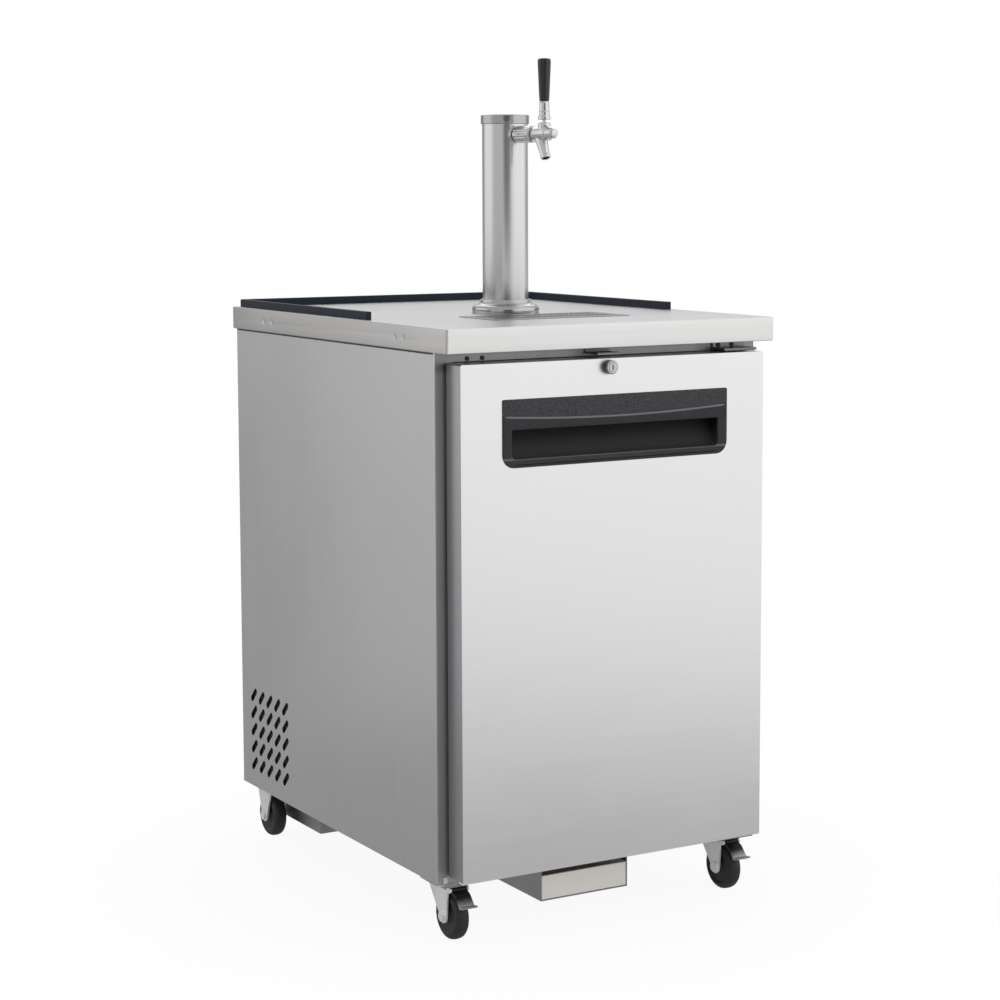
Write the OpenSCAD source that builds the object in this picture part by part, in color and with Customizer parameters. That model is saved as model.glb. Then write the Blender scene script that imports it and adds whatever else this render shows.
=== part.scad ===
// Keg cooler: a stainless cabinet on casters with a hinged door, a refrigeration set low at the rear
// and a single draught tower on the counter.
// Millimetres, +X right, front at -Y, +Z up, origin on the floor under the middle.

/* [Counter] */
// Width of the counter slab
counter_w = 597; // [575:1:650]
// Depth of the counter slab, front to back
counter_d = 789; // [775:1:850]
// Height of the counter above the floor
counter_h = 949; // [935:1:1000]
// Thickness of the counter slab
slab_t = 38; // [34:1:44]
// Overhang of the slab past each side panel
slab_lip = 5.5; // [3:0.5:8]
// Overhang of the slab past the back panel
rear_lip = 6.5; // [4:0.5:9]
// Sheet thickness of the slab skin
skin_t = 1.5; // [1:0.1:2]
// Width of the folded return under the slab
return_w = 14; // [12:1:18]
// Radius of the slab's upright corners
slab_r = 4; // [2:0.5:8]
// Height of the guard rail
rail_h = 13; // [9:1:18]
// Thickness of the guard rail
rail_t = 9; // [6:1:12]
// Distance of the guard rail from the slab's edge
rail_inset = 9; // [4:1:12]
// Distance of the guard rail's ends from the slab's front edge
rail_start = 280; // [250:5:320]

/* [Drip tray] */
// Width of the tray over its rim
tray_w = 256; // [230:2:290]
// Depth of the tray over its rim, front to back
tray_d = 122; // [108:2:128]
// Depth of the basin below the counter
tray_depth = 20; // [17:1:24]
// Sheet thickness of the tray
tray_t = 1.2; // [0.9:0.1:1.5]
// Width of the rim that lies on the counter
tray_rim = 7; // [5:0.5:9]
// Width of the ledge that carries the grille
tray_ledge = 5; // [4:0.5:7]
// Thickness of the lift-out grille
grille_t = 3; // [2:0.5:4]
// Number of slots along the grille
grille_slots = 22; // [12:1:24]
// Width of a grille slot
grille_slot_w = 4.5; // [3:0.5:5.5]
// Outer diameter of the drain tail
drain_d = 19; // [16:1:22]

/* [Cabinet] */
// Thickness of the insulated walls
wall_t = 46; // [42:1:52]
// Thickness of the outer panels
panel_t = 1.2; // [0.9:0.1:1.6]
// Thickness of the liner sheet
liner_t = 1; // [0.7:0.1:1.4]
// Thickness of the floor under the keg
floor_t = 50; // [46:1:58]
// Thickness of the front frame
frame_t = 12; // [9:1:16]
// Height of the header above the keg bay's mouth
header_h = 45; // [42:1:52]
// Depth of the machine compartment
machine_d = 222; // [215:1:235]
// Height of the machine compartment
machine_h = 205; // [190:1:225]
// Length of a vent slot
vent_l = 32; // [28:1:38]
// Width of a vent slot
vent_w = 11; // [8:0.5:13]
// Spacing of the vent slots along the panel
vent_pitch_y = 33; // [31:1:36]
// Spacing of the vent slots up the panel
vent_pitch_z = 31; // [29:1:34]
// Distance of the vents' middle ahead of the back panel
vent_in = 116; // [110:1:125]
// Height of the vents' middle above the cabinet's base
vent_up = 104; // [98:1:110]
// Number of vent slots each way
vent_count = 5; // [3:1:5]
// Radius of the gas line's way through the back wall
gas_r = 11; // [8:0.5:14]

/* [Door] */
// Thickness of the door without its gasket
door_t = 44; // [40:1:50]
// Distance of each door edge from the slab's edge
door_inset = 22.2; // [20:0.2:25]
// Gap between the slab and the top of the door
door_top_gap = 16; // [15:0.5:20]
// Height of the door's lower edge above the cabinet's base
door_rise = 11; // [10:0.5:16]
// Distance that the door stands proud of the slab
door_proud = 2; // [0:0.5:6]
// Gap between the closed door and the front frame
seal_gap = 5.5; // [4.5:0.5:8]
// Width of the gasket
gasket_w = 12; // [10:1:14]
// Distance of the gasket from the door's edge
gasket_inset = 13; // [12.5:0.5:15]
// Radius of the hinge pins
pin_r = 5; // [4:0.5:6]
// Distance of the hinge axis from the door's edge
pin_in = 14.3; // [13:0.1:15]
// Distance of the hinge axis from the back of the door
pin_back = 21.5; // [20:0.5:24]

/* [Door handle] */
// Width of the recessed handle
handle_w = 410; // [340:5:440]
// Height of the recessed handle
handle_h = 104; // [90:1:120]
// Distance of the handle below the door's top edge
handle_drop = 55; // [52:1:86]
// Radius of the handle's lower corners
handle_r = 20; // [12:1:26]
// Depth of the finger pocket
handle_depth = 26; // [20:1:30]
// Height of the finger opening
mouth_h = 44; // [38:1:50]
// Width of the moulding left beside the finger opening
mouth_side = 17; // [14:1:22]
// Wall thickness of the moulding
handle_wall = 2.5; // [2:0.1:3]
// Distance that the moulding stands proud of the door
handle_proud = 2; // [1:0.5:3]

/* [Lock] */
// Sideways place of the lock
lock_x = -16; // [-60:1:0]
// Distance of the lock below the door's top edge
lock_drop = 13; // [12.5:0.5:15]
// Diameter of the lock's outer ring
lock_d = 22; // [19:1:24]
// Distance that the lock stands out from the door
lock_proj = 12; // [8:0.5:14]
// Radius of the turning plug
plug_r = 7; // [5.5:0.5:7.5]
// Reach of the locking tongue
tongue_l = 26; // [25:0.5:27]

/* [Tower] */
// Distance of the tower axis behind the slab's front edge
tower_setback = 341.5; // [330:0.5:360]
// Outer diameter of the tower tube
tower_d = 76; // [70:1:84]
// Height of the tower above the counter
tower_h = 326; // [300:1:360]
// Diameter of the tower's base flange
flange_d = 112; // [104:1:120]
// Height of the base flange with its collar
flange_h = 23; // [20:1:28]
// Height of the tower cap
cap_h = 15; // [12:1:20]
// Wall thickness of the tower tube
tower_wall = 1.5; // [1:0.1:2.5]
// Radius of the hole through the counter under the tower
tower_hole_r = 30; // [24:1:32]
// Radius of the riser tube
riser_r = 4.8; // [4:0.1:6]
// Distance that the riser ends below the slab
riser_tail = 26; // [22:1:34]

/* [Tap] */
// Height of the tap's axis below the tower's top
tap_drop = 33; // [30:0.5:40]
// Distance of the lever from the tower axis
tap_reach = 126; // [118:1:140]
// Height of the lever's pivot above the tap's axis
pivot_rise = 11; // [10:0.5:13]
// Radius of the faucet's barrel
barrel_r = 12; // [11.5:0.5:14]
// Radius of the sliding shaft inside the faucet
shaft_r = 5.4; // [4.5:0.1:6]
// Radius of the shank
shank_r = 10.5; // [9.5:0.5:11]
// Radius of the coupling nut
nut_r = 14; // [13:0.5:16]
// Length of the tap handle
tap_handle_l = 68; // [60:1:120]
// Diameter of the tap handle at its top
tap_handle_d = 21.5; // [19:0.5:30]

/* [Casters] */
// Wheel diameter
wheel_d = 76; // [70:1:80]
// Wheel width
wheel_w = 24; // [20:1:28]
// Distance from the top of a wheel to the cabinet's base
caster_rise = 19; // [18:0.5:26]
// Distance of each caster from the cabinet's side
caster_in = 37; // [33:1:41]
// Distance of the front swivels behind the slab's front edge
swivel_setback = 93.5; // [85:0.5:110]
// Distance of the rear axles ahead of the back panel
rear_axle_in = 43; // [40:1:46]
// Trail of the front casters
trail = 24; // [20:1:28]
// Axle diameter
axle_d = 10; // [8:0.5:12]
// Thickness of the fork plates
fork_t = 3; // [2:0.5:4]

/* [Pans] */
// Width of the pull-out pan
pan_w = 160; // [130:2:180]
// Depth of the pull-out pan, front to back
pan_d = 260; // [200:5:290]
// Height of the pull-out pan
pan_h = 39; // [30:1:42]
// Distance of the pull-out pan's top below the cabinet's base
pan_drop = 30.7; // [28:0.1:34]
// Distance of the pan's front behind the slab's front edge
pan_setback = 94.5; // [80:0.5:120]
// Distance of the machine pan's drop from the cabinet's side
well_in = 61; // [60:1:70]
// Depth of the machine pan's drop below the cabinet's base
well_drop = 62; // [54:1:66]
// Distance of the drop's front edge behind the machine compartment's front
well_start = 32; // [24:1:36]

/* [Hidden] */
$fn = 48;
// Clearances: flat seats that move apart, round running fits, loose holes
gap = 0.3;
run = 0.05;
loose = 0.2;

// Places along the depth
mid_y = (door_proud + lock_proj) / 2;
front_y = mid_y - counter_d / 2;
back_y = mid_y + counter_d / 2;
door_front = front_y - door_proud;
door_back = door_front + door_t;
frame_y = door_back + seal_gap;
frame_back = frame_y + frame_t;
cab_back = back_y - rear_lip;
back_in = cab_back - panel_t;
bay_back = cab_back - wall_t;
machine_y = cab_back - machine_d;
step_y = machine_y - wall_t;
tower_y = front_y + tower_setback;
tap_y = tower_y - tap_reach;

// Places across the width
slab_x = counter_w / 2;
cab_x = slab_x - slab_lip;
cab_in = cab_x - panel_t;
bay_x = cab_x - wall_t;
liner_x = bay_x + liner_t;
mouth_x = bay_x + 2;
door_x = slab_x - door_inset;

// Places up the height
slab_z = counter_h - slab_t;
base_z = wheel_d + caster_rise;
base_top = base_z + panel_t;
floor_z = base_z + floor_t;
machine_z = base_z + machine_h;
step_z = machine_z + wall_t;
mouth_z0 = floor_z - 5;
mouth_z1 = slab_z - header_h;
door_z0 = base_z + door_rise;
door_z1 = slab_z - door_top_gap;

// Hinge and lock
pin_x = door_x - pin_in;
pin_y = door_back - pin_back;
bush_wall = 3;
bush_l = 20;
bush_lip = 1.5;
hinge_gap = 0.5;
hinge_t = 4;
arm_in = 52;
arm_out = 10;
lock_z = door_z1 - lock_drop;
lock_back = door_front + 18;
tongue_t = 3;
tongue_w = 12;
keeper_z = lock_z + 18;
keeper_t = 2.5;

// Door handle
handle_z1 = door_z1 - handle_drop;
handle_z0 = handle_z1 - handle_h;
handle_flange = 8;
mouth_low = 13;
ridge_sag = 7;
ridge_h = 3;
ridge_drop = 26;

// Drip tray
tray_top = counter_h + tray_t;
well_w = tray_w - 2 * tray_rim;
well_d = tray_d - 2 * tray_rim;
grille_z = tray_top - grille_t;
tray_floor = counter_h - tray_depth;
tray_r = 5.5;
drain_room = 4;

// Tower and tap
tower_top = counter_h + tower_h;
tube_r = tower_d / 2;
socket_z = counter_h + 4;
tap_z = tower_top - tap_drop;
pivot_z = tap_z + pivot_rise;
ball_r = pivot_rise - shaft_r - gap;
dome_r = 10.5;
trunnion_r = 2.2;
trunnion_l = dome_r - 0.9;
collar_bore = 8.2;
spout_tilt = 25.5;
spout_back = 14;
spout_l = 44;
spout_r = 7.8;
lever_r = 3.2;
finger_r = 2.4;
finger_neck = 1.6;
finger_flare = 4.8;
stud_r = 5;
stud_l = 20;
skirt_z = pivot_z + dome_r + gap;
ferrule_z0 = skirt_z + 6;
ferrule_z1 = tower_top + 18;
nut_y0 = tap_y + 32;
nut_y1 = tower_y - tube_r - 6;
elbow_r = 14;
shank_bore = 4;
inner_nut_r = shank_r + 3;
riser_end = slab_z - riser_tail;

// Casters
caster_x = cab_x - caster_in;
wheel_r = wheel_d / 2;
swivel_y = front_y + swivel_setback;
front_axle_y = swivel_y - trail;
rear_axle_y = cab_back - rear_axle_in;
crown_gap = 3;
crown_t = 3.5;
crown_z = wheel_d + crown_gap;
channel_h = 7;
channel_t = 2;
channel_d = 52;
head_r = 22;
fork_in = wheel_w / 2 + 2;
fork_out = fork_in + fork_t;
axle_r = axle_d / 2;
king_r = 6;
boss_r = 11;
pedal_r = 2.5;
ear_r = 4;
pedal_y = -trail - 20;
pedal_z = crown_z + 4;
pedal_l = 38;
pedal_fall = 23.5;
pedal_swing = 14;

// Pans
pan_front = front_y + pan_setback;
pan_top = base_z - pan_drop;
pan_bottom = pan_top - pan_h;
pan_wall = 2;
sleeve_t = 1.5;
sleeve_lip = 10;
well_x = cab_x - well_in;
well_z = base_z - well_drop;
well_front = machine_y + well_start;
well_back = cab_back - 4;
well_floor = well_z + sleeve_t;

// Refrigeration
comp_r = 74;
comp_side = 117;
comp_x = comp_side - well_x;
comp_rear = 94;
comp_y = cab_back - comp_rear;
comp_foot = 10;
comp_foot_r = 9;
comp_plate_w = 170;
comp_plate_d = 110;
comp_plate_r = 12;
comp_seam = 16;
comp_shoulder = 100;
comp_dome = 50;
cond_side = 26;
cond_w = 170;
cond_d = 40;
cond_rear = 10;
cond_lift = 14;
cond_rise = 158;
cond_x1 = well_x - cond_side;
cond_x0 = cond_x1 - cond_w;
cond_y1 = cab_back - cond_rear;
cond_y0 = cond_y1 - cond_d;
cond_z0 = well_floor + cond_lift;
cond_z1 = base_z + cond_rise;
fan_x = cond_x0 + cond_w / 2;
fan_rise = 55;
fan_z = base_z + fan_rise;
fan_hub_r = 16;
fan_hub_l = 18;
fan_tip_r = 74;
fan_space = 11;
fan_y = cond_y0 - fan_space - fan_hub_l;
motor_space = 4;
motor_r = 29;
motor_l = 50;
motor_leg_x = 20;
motor_leg_in = 12;
motor_shaft_r = 4;
evap_side = 47;
evap_d = 70;
evap_h = 190;
evap_top = 31;
evap_t = 1.2;
evap_edge = 14;
evap_fin_d = 50;
evap_motor_r = 28;
evap_motor_l = 38;
evap_hub_r = 15;
evap_hub_l = 16;
evap_tip_r = 54;
evap_fan_in = 95;
evap_fan_gap = 8;
evap_fan_hole = 60;
outlet_w = 150;
outlet_pitch = 15;
outlet_rise = 52;
outlet_in = 30;
evap_x = bay_x - evap_side;
evap_y = bay_back - evap_d;
evap_z1 = slab_z - evap_top;
evap_z0 = evap_z1 - evap_h;
evap_fan_x = evap_fan_in - evap_x;
evap_mid = (evap_z0 + evap_z1) / 2;
knob_in = 105;
knob_rise = 26;
knob_r = 15;
knob_l = 14;
spindle_r = 3;
knob_x = evap_x - knob_in;
knob_z = evap_z0 + knob_rise;
gas_side = 67;
gas_rise = 74;
gas_wall = 3;
gas_x = bay_x - gas_side;
gas_z = step_z + gas_rise;
inlet_x = 0;
inlet_rise = 30;
inlet_r = 8;
inlet_lip = 2;
inlet_z = base_z + inlet_rise;

// Shared shapes

// Box between two corners
module between(lo, hi) {
  translate(lo) cube(hi - lo);
}

// Rounded rectangle, centred
module rounded_rect(w, h, r) {
  square([w - 2 * r, h], center = true);
  square([w, h - 2 * r], center = true);
  for (sx = [-1, 1], sy = [-1, 1])
    translate([sx * (w / 2 - r), sy * (h / 2 - r)]) circle(r);
}

// Slot with round ends, length along X
module obround(l, w) {
  square([l - w, w], center = true);
  for (s = [-1, 1]) translate([s * (l - w) / 2, 0]) circle(w / 2);
}

// A drawing in the front plane, given thickness from y0 to y1
module front_plate(y0, y1) {
  translate([0, y1, 0]) rotate([90, 0, 0]) linear_extrude(y1 - y0) children();
}

// A drawing in the side plane, given thickness from x0 to x1
module side_plate(x0, x1) {
  translate([x0, 0, 0]) rotate([90, 0, 90]) linear_extrude(x1 - x0) children();
}

module rod_x(r, x0, x1) {
  translate([x0, 0, 0]) rotate([0, 90, 0]) cylinder(r = r, h = x1 - x0);
}

module rod_y(r, y0, y1) {
  translate([0, y0, 0]) rotate([-90, 0, 0]) cylinder(r = r, h = y1 - y0);
}

module rod_z(r, z0, z1) {
  translate([0, 0, z0]) cylinder(r = r, h = z1 - z0);
}

// Counter

module slab_outline(inset) {
  translate([0, mid_y]) rounded_rect(counter_w - 2 * inset, counter_d - 2 * inset, slab_r);
}

module tray_place() {
  translate([0, tap_y]) children();
}

module counter_top() {
  color("gainsboro") difference() {
    translate([0, 0, slab_z]) linear_extrude(slab_t) slab_outline(0);
    translate([0, 0, slab_z + skin_t]) linear_extrude(slab_t - 2 * skin_t) slab_outline(skin_t);
    translate([0, 0, slab_z - 1]) linear_extrude(skin_t + 2) slab_outline(return_w);
    translate([0, tower_y, 0]) rod_z(tower_hole_r, counter_h - skin_t - 1, counter_h + 1);
    translate([0, 0, counter_h - skin_t - 1]) linear_extrude(skin_t + 2)
      tray_place() rounded_rect(well_w + 2 * loose, well_d + 2 * loose, tray_r + loose);
  }
}

// Core boards: one on each side of the tray over the full depth, and three across the middle
module counter_core() {
  half_w = well_w / 2 + loose;
  half_d = well_d / 2 + loose;
  color("wheat") difference() {
    union() {
      translate([0, 0, slab_z + skin_t]) linear_extrude(slab_t - 2 * skin_t) slab_outline(skin_t);
      translate([0, 0, slab_z]) linear_extrude(skin_t + 1) slab_outline(return_w);
    }
    translate([0, tower_y, 0]) rod_z(tower_hole_r, slab_z - 1, counter_h);
    between([-half_w, tap_y - half_d, tray_floor - loose], [half_w, tap_y + half_d, counter_h]);
    translate([0, tap_y, 0]) rod_z(drain_d / 2 + drain_room, slab_z - 1, counter_h);
    for (s = [-1, 1]) {
      translate([s * half_w - gap / 2, front_y, slab_z - 1]) cube([gap, counter_d, slab_t]);
      translate([-half_w, tap_y + s * half_d - gap / 2, slab_z - 1]) cube([2 * half_w, gap, slab_t]);
    }
  }
}

module guard_rail() {
  color("darkslategray") translate([0, 0, counter_h]) linear_extrude(rail_h) difference() {
    slab_outline(rail_inset);
    slab_outline(rail_inset + rail_t);
    translate([-slab_x, front_y - 1]) square([counter_w, rail_start + 1]);
  }
}

// Sunk basin: rim on the counter, ledge for the grille, drain tail through the slab
module drip_tray() {
  ledge_z = grille_z - tray_t;
  low_w = well_w - 2 * tray_ledge;
  low_d = well_d - 2 * tray_ledge;
  color("silver") translate([0, tap_y, 0]) difference() {
    union() {
      translate([0, 0, counter_h]) linear_extrude(tray_t) rounded_rect(tray_w, tray_d, tray_r + 3);
      translate([0, 0, ledge_z]) linear_extrude(counter_h - ledge_z) rounded_rect(well_w, well_d, tray_r);
      translate([0, 0, tray_floor]) linear_extrude(counter_h - tray_floor) rounded_rect(low_w, low_d, tray_r);
      rod_z(drain_d / 2, riser_end, tray_floor + 1);
    }
    translate([0, 0, grille_z]) linear_extrude(tray_top)
      rounded_rect(well_w - 2 * tray_t, well_d - 2 * tray_t, tray_r - tray_t);
    translate([0, 0, tray_floor + tray_t]) linear_extrude(tray_top)
      rounded_rect(low_w - 2 * tray_t, low_d - 2 * tray_t, tray_r - tray_t);
    rod_z(drain_d / 2 - 2, riser_end - 1, tray_top);
  }
}

module drip_grille() {
  w = well_w - 2 * tray_t - 2 * gap;
  d = well_d - 2 * tray_t - 2 * gap;
  edge = 9;
  bar = 8;
  pitch = (w - 2 * edge) / grille_slots;
  slot_l = (d - bar) / 2 - edge;
  color("slategray") translate([0, tap_y, grille_z + gap]) linear_extrude(grille_t - gap) difference() {
    rounded_rect(w, d, tray_r - tray_t);
    for (i = [0 : grille_slots - 1], side = [-1, 1])
      translate([(i - (grille_slots - 1) / 2) * pitch, side * (slot_l + bar) / 2])
        rotate(90) obround(slot_l, grille_slot_w);
  }
}

// Cabinet shell

module vent_pattern() {
  vent_y = cab_back - vent_in;
  vent_z = base_z + vent_up;
  half = (vent_count - 1) / 2;
  for (i = [-half : half], j = [-half : half])
    translate([vent_y + i * vent_pitch_y, vent_z + j * vent_pitch_z]) rotate(135) obround(vent_l, vent_w);
}

module side_panel(sign) {
  x0 = sign > 0 ? cab_in : -cab_x;
  color("lightgray") side_plate(x0, x0 + panel_t) difference() {
    translate([frame_y, base_z]) square([cab_back - frame_y, slab_z - base_z]);
    vent_pattern();
  }
}

module side_panel_left() {
  side_panel(-1);
}

module side_panel_right() {
  side_panel(1);
}

module back_panel() {
  color("darkgray") difference() {
    between([-cab_in, back_in, machine_z], [cab_in, cab_back, slab_z]);
    translate([gas_x, 0, gas_z]) rod_y(gas_r + gas_wall + loose, back_in - 1, cab_back + 1);
  }
}

// Louvred cover of the machine compartment, each row with its raised hood
module rear_grille() {
  rows = 9;
  hood = 4;
  lip = 1.4;
  slot_w = 230;
  slot_h = 8;
  margin = 25;
  column = slot_w / 2 + 12;
  pitch = (machine_h - 2 * margin) / (rows - 1);
  color("dimgray") {
    difference() {
      between([-cab_in, back_in, base_z], [cab_in, cab_back, machine_z]);
      for (i = [0 : rows - 1], s = [-1, 1])
        translate([s * column - slot_w / 2, back_in - 1, base_z + margin + i * pitch - slot_h / 2])
          cube([slot_w, panel_t + 2, slot_h]);
      translate([inlet_x, 0, inlet_z]) rod_y(inlet_r + loose, back_in - 1, cab_back + 1);
    }
    for (i = [0 : rows - 1], s = [-1, 1])
      translate([s * column, 0, base_z + margin + i * pitch + slot_h / 2])
        side_plate(-slot_w / 2, slot_w / 2)
          polygon([[cab_back - panel_t, 0], [cab_back, 0], [cab_back + hood, -slot_h + 2],
                   [cab_back + hood - 1, -slot_h + lip], [cab_back - panel_t, -lip]]);
  }
}

// Frame round the keg bay's mouth
module front_frame() {
  color("gray") front_plate(frame_y, frame_back) difference() {
    translate([-cab_in, base_z]) square([2 * cab_in, slab_z - base_z]);
    translate([-mouth_x, mouth_z0]) square([2 * mouth_x, mouth_z1 - mouth_z0]);
  }
}

// Angle under the counter with a slot that the lock's tongue turns up into
module lock_keeper() {
  slot_x0 = lock_x - tongue_w / 2 - 3;
  slot_x1 = lock_x + tongue_l + 2;
  slot_half = tongue_t / 2 + 2.5;
  rim = 4;
  tongue_y = lock_back + tongue_t / 2;
  color("gray") difference() {
    union() {
      between([slot_x0 - rim, tongue_y - slot_half - rim, keeper_z],
              [slot_x1 + rim, frame_y, keeper_z + keeper_t]);
      between([slot_x0 - rim, frame_y - keeper_t, keeper_z], [slot_x1 + rim, frame_y, slab_z - gap]);
    }
    between([slot_x0, tongue_y - slot_half, keeper_z - 1],
            [slot_x1, tongue_y + slot_half, keeper_z + keeper_t + 1]);
  }
}

// Side outline of the keg bay, stepped over the machine compartment
module bay_outline(grow) {
  polygon([[frame_back, floor_z - grow], [step_y + grow, floor_z - grow], [step_y + grow, step_z - grow],
           [bay_back + grow, step_z - grow], [bay_back + grow, slab_z], [frame_back, slab_z]]);
}

module gas_hole(y0, y1) {
  translate([gas_x, 0, gas_z]) rod_y(gas_r + gas_wall + loose, y0, y1);
}

module liner() {
  color("whitesmoke") difference() {
    side_plate(-liner_x, liner_x) bay_outline(liner_t);
    side_plate(-bay_x, bay_x) {
      bay_outline(0);
      translate([frame_back - 1, floor_z]) square([2, slab_z - floor_z]);
      translate([frame_back, slab_z - 1]) square([bay_back - frame_back, 2]);
    }
    gas_hole(bay_back - 1, bay_back + liner_t + 1);
  }
}

module wall_outline() {
  polygon([[frame_back, base_top], [machine_y, base_top], [machine_y, machine_z],
           [back_in, machine_z], [back_in, slab_z], [frame_back, slab_z]]);
}

module side_foam() {
  color("khaki") {
    side_plate(-cab_in, -liner_x) wall_outline();
    side_plate(liner_x, cab_in) wall_outline();
  }
}

module inner_foam() {
  color("palegoldenrod") difference() {
    side_plate(-liner_x, liner_x) wall_outline();
    side_plate(-liner_x - 1, liner_x + 1) {
      bay_outline(liner_t);
      translate([frame_back - 1, floor_z - liner_t]) square([2, slab_z]);
      translate([frame_back, slab_z - 1]) square([bay_back + liner_t - frame_back, 2]);
    }
    gas_hole(bay_back, back_in + 1);
  }
}

// Ribbed plate that the keg stands on
module keg_floor() {
  edge = 4;
  ribs = 7;
  rib_w = 8;
  w = 2 * (bay_x - edge);
  y0 = frame_back + edge;
  y1 = step_y - edge;
  color("lightsteelblue") {
    between([-w / 2, y0, floor_z], [w / 2, y1, floor_z + 2]);
    for (i = [0 : ribs - 1])
      translate([(i - (ribs - 1) / 2) * w / ribs - rib_w / 2, y0 + rib_w, floor_z + 1])
        cube([rib_w, y1 - y0 - 2 * rib_w, 4]);
  }
}

// Base sheet with the channel that carries the front swivels
module base_pan() {
  channel_z = base_z - channel_h;
  channel_x = cab_in - 6;
  notch_x = pan_w / 2 + gap + sleeve_t + sleeve_lip + 2;
  color("darkgray") difference() {
    union() {
      between([-cab_in, frame_back, base_z], [cab_in, machine_y, base_top]);
      between([-channel_x, swivel_y - channel_d / 2, channel_z],
              [channel_x, swivel_y + channel_d / 2, channel_z + channel_t]);
      for (s = [-1, 1])
        translate([-channel_x, swivel_y + s * (channel_d - channel_t) / 2 - channel_t / 2, channel_z])
          cube([2 * channel_x, channel_t, channel_h + panel_t / 2]);
    }
    for (s = [-1, 1])
      translate([s * caster_x, swivel_y, 0]) rod_z(king_r + loose, channel_z - 1, channel_z + channel_t + 1);
    between([-notch_x, swivel_y - channel_d, channel_z - 1], [notch_x, swivel_y + channel_d, base_z]);
  }
}

// Floor of the machine compartment, dropped between the rear casters
module machine_pan() {
  color("darkslategray") difference() {
    union() {
      between([-cab_in, machine_y, base_z], [cab_in, back_in, base_top]);
      between([-well_x, well_front, well_z], [well_x, well_back, base_z + panel_t / 2]);
    }
    between([-well_x + sleeve_t, well_front + sleeve_t, well_floor],
            [well_x - sleeve_t, well_back - sleeve_t, base_top + 1]);
    for (s = [-1, 1])
      translate([s * caster_x, rear_axle_y, 0]) rod_z(king_r + loose, base_z - 1, base_top + 1);
  }
}

// Steel sleeve hung under the base, open at the front, with flanges against the base
module pan_sleeve() {
  in_x = pan_w / 2 + gap;
  out_x = in_x + sleeve_t;
  y1 = pan_front + pan_d + 2 * gap;
  low = pan_bottom - gap - sleeve_t;
  color("dimgray") difference() {
    union() {
      between([-out_x, pan_front - 1, low], [out_x, y1 + sleeve_t, base_z]);
      between([-out_x - sleeve_lip, pan_front - 1, base_z - sleeve_t],
              [out_x + sleeve_lip, y1 + sleeve_t, base_z]);
    }
    between([-in_x, pan_front - 2, low + sleeve_t], [in_x, y1, base_z + 1]);
  }
}

module condensate_pan() {
  front_t = 4;
  color("antiquewhite") difference() {
    between([-pan_w / 2, pan_front, pan_bottom], [pan_w / 2, pan_front + pan_d, pan_top]);
    between([-pan_w / 2 + pan_wall, pan_front + front_t, pan_bottom + pan_wall],
            [pan_w / 2 - pan_wall, pan_front + pan_d - pan_wall, pan_top + 1]);
  }
}

// Door

module door_outline(inset) {
  translate([0, (door_z0 + door_z1) / 2])
    rounded_rect(2 * (door_x - inset), door_z1 - door_z0 - 2 * inset, 3);
}

// Handle outline: nearly square above, round below
module handle_outline(inset) {
  w = handle_w - 2 * inset;
  h = handle_h - 2 * inset;
  translate([0, (handle_z0 + handle_z1) / 2]) {
    rounded_rect(w, h, max(handle_r - inset, 3));
    translate([0, h / 4]) rounded_rect(w, h / 2, 2);
  }
}

module mouth_outline() {
  translate([0, handle_z0 + mouth_low + mouth_h / 2])
    rounded_rect(handle_w - 2 * mouth_side, mouth_h, 5);
}

module bush_place() {
  translate([pin_x, pin_y, door_z1]) children();
  translate([pin_x, pin_y, door_z0]) mirror([0, 0, 1]) children();
}

// Swing of the locking tongue, from sideways to upright
module tongue_space(y0, y1) {
  front_plate(y0, y1) translate([lock_x, lock_z]) {
    intersection() {
      circle(tongue_l + 2);
      translate([-tongue_w / 2 - 1, -tongue_w / 2 - 1]) square(tongue_l + tongue_w);
    }
    circle(tongue_w / 2 + 1.5);
  }
}

module door_skin() {
  color("gainsboro") difference() {
    front_plate(door_front, door_back) door_outline(0);
    front_plate(door_front + panel_t, door_back + 1) door_outline(panel_t);
    front_plate(door_front - 1, door_front + panel_t + 1) handle_outline(handle_flange - loose);
    translate([lock_x, 0, lock_z]) rod_y(lock_d / 2 - 2 + loose, door_front - 1, door_front + panel_t + 1);
    tongue_space(lock_back - 1, lock_back + tongue_t + 1);
    bush_place() rod_z(pin_r + bush_wall + loose, -panel_t - 1, 1);
  }
}

module door_foam() {
  color("wheat") difference() {
    front_plate(door_front + panel_t, door_back - panel_t) door_outline(panel_t);
    front_plate(door_front, door_front + handle_depth + loose) handle_outline(handle_flange - loose);
    translate([lock_x, 0, lock_z]) rod_y(lock_d / 2 - 2 + loose, door_front, lock_back);
    tongue_space(lock_back - 1, lock_back + tongue_t + 1);
    bush_place() rod_z(pin_r + bush_wall + loose, -bush_l - loose, 1);
  }
}

module door_liner() {
  color("white") front_plate(door_back - panel_t, door_back) door_outline(panel_t + loose / 2);
}

module door_gasket() {
  color("dimgray") front_plate(door_back, frame_y - gap) difference() {
    door_outline(gasket_inset);
    door_outline(gasket_inset + gasket_w);
  }
}

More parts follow.
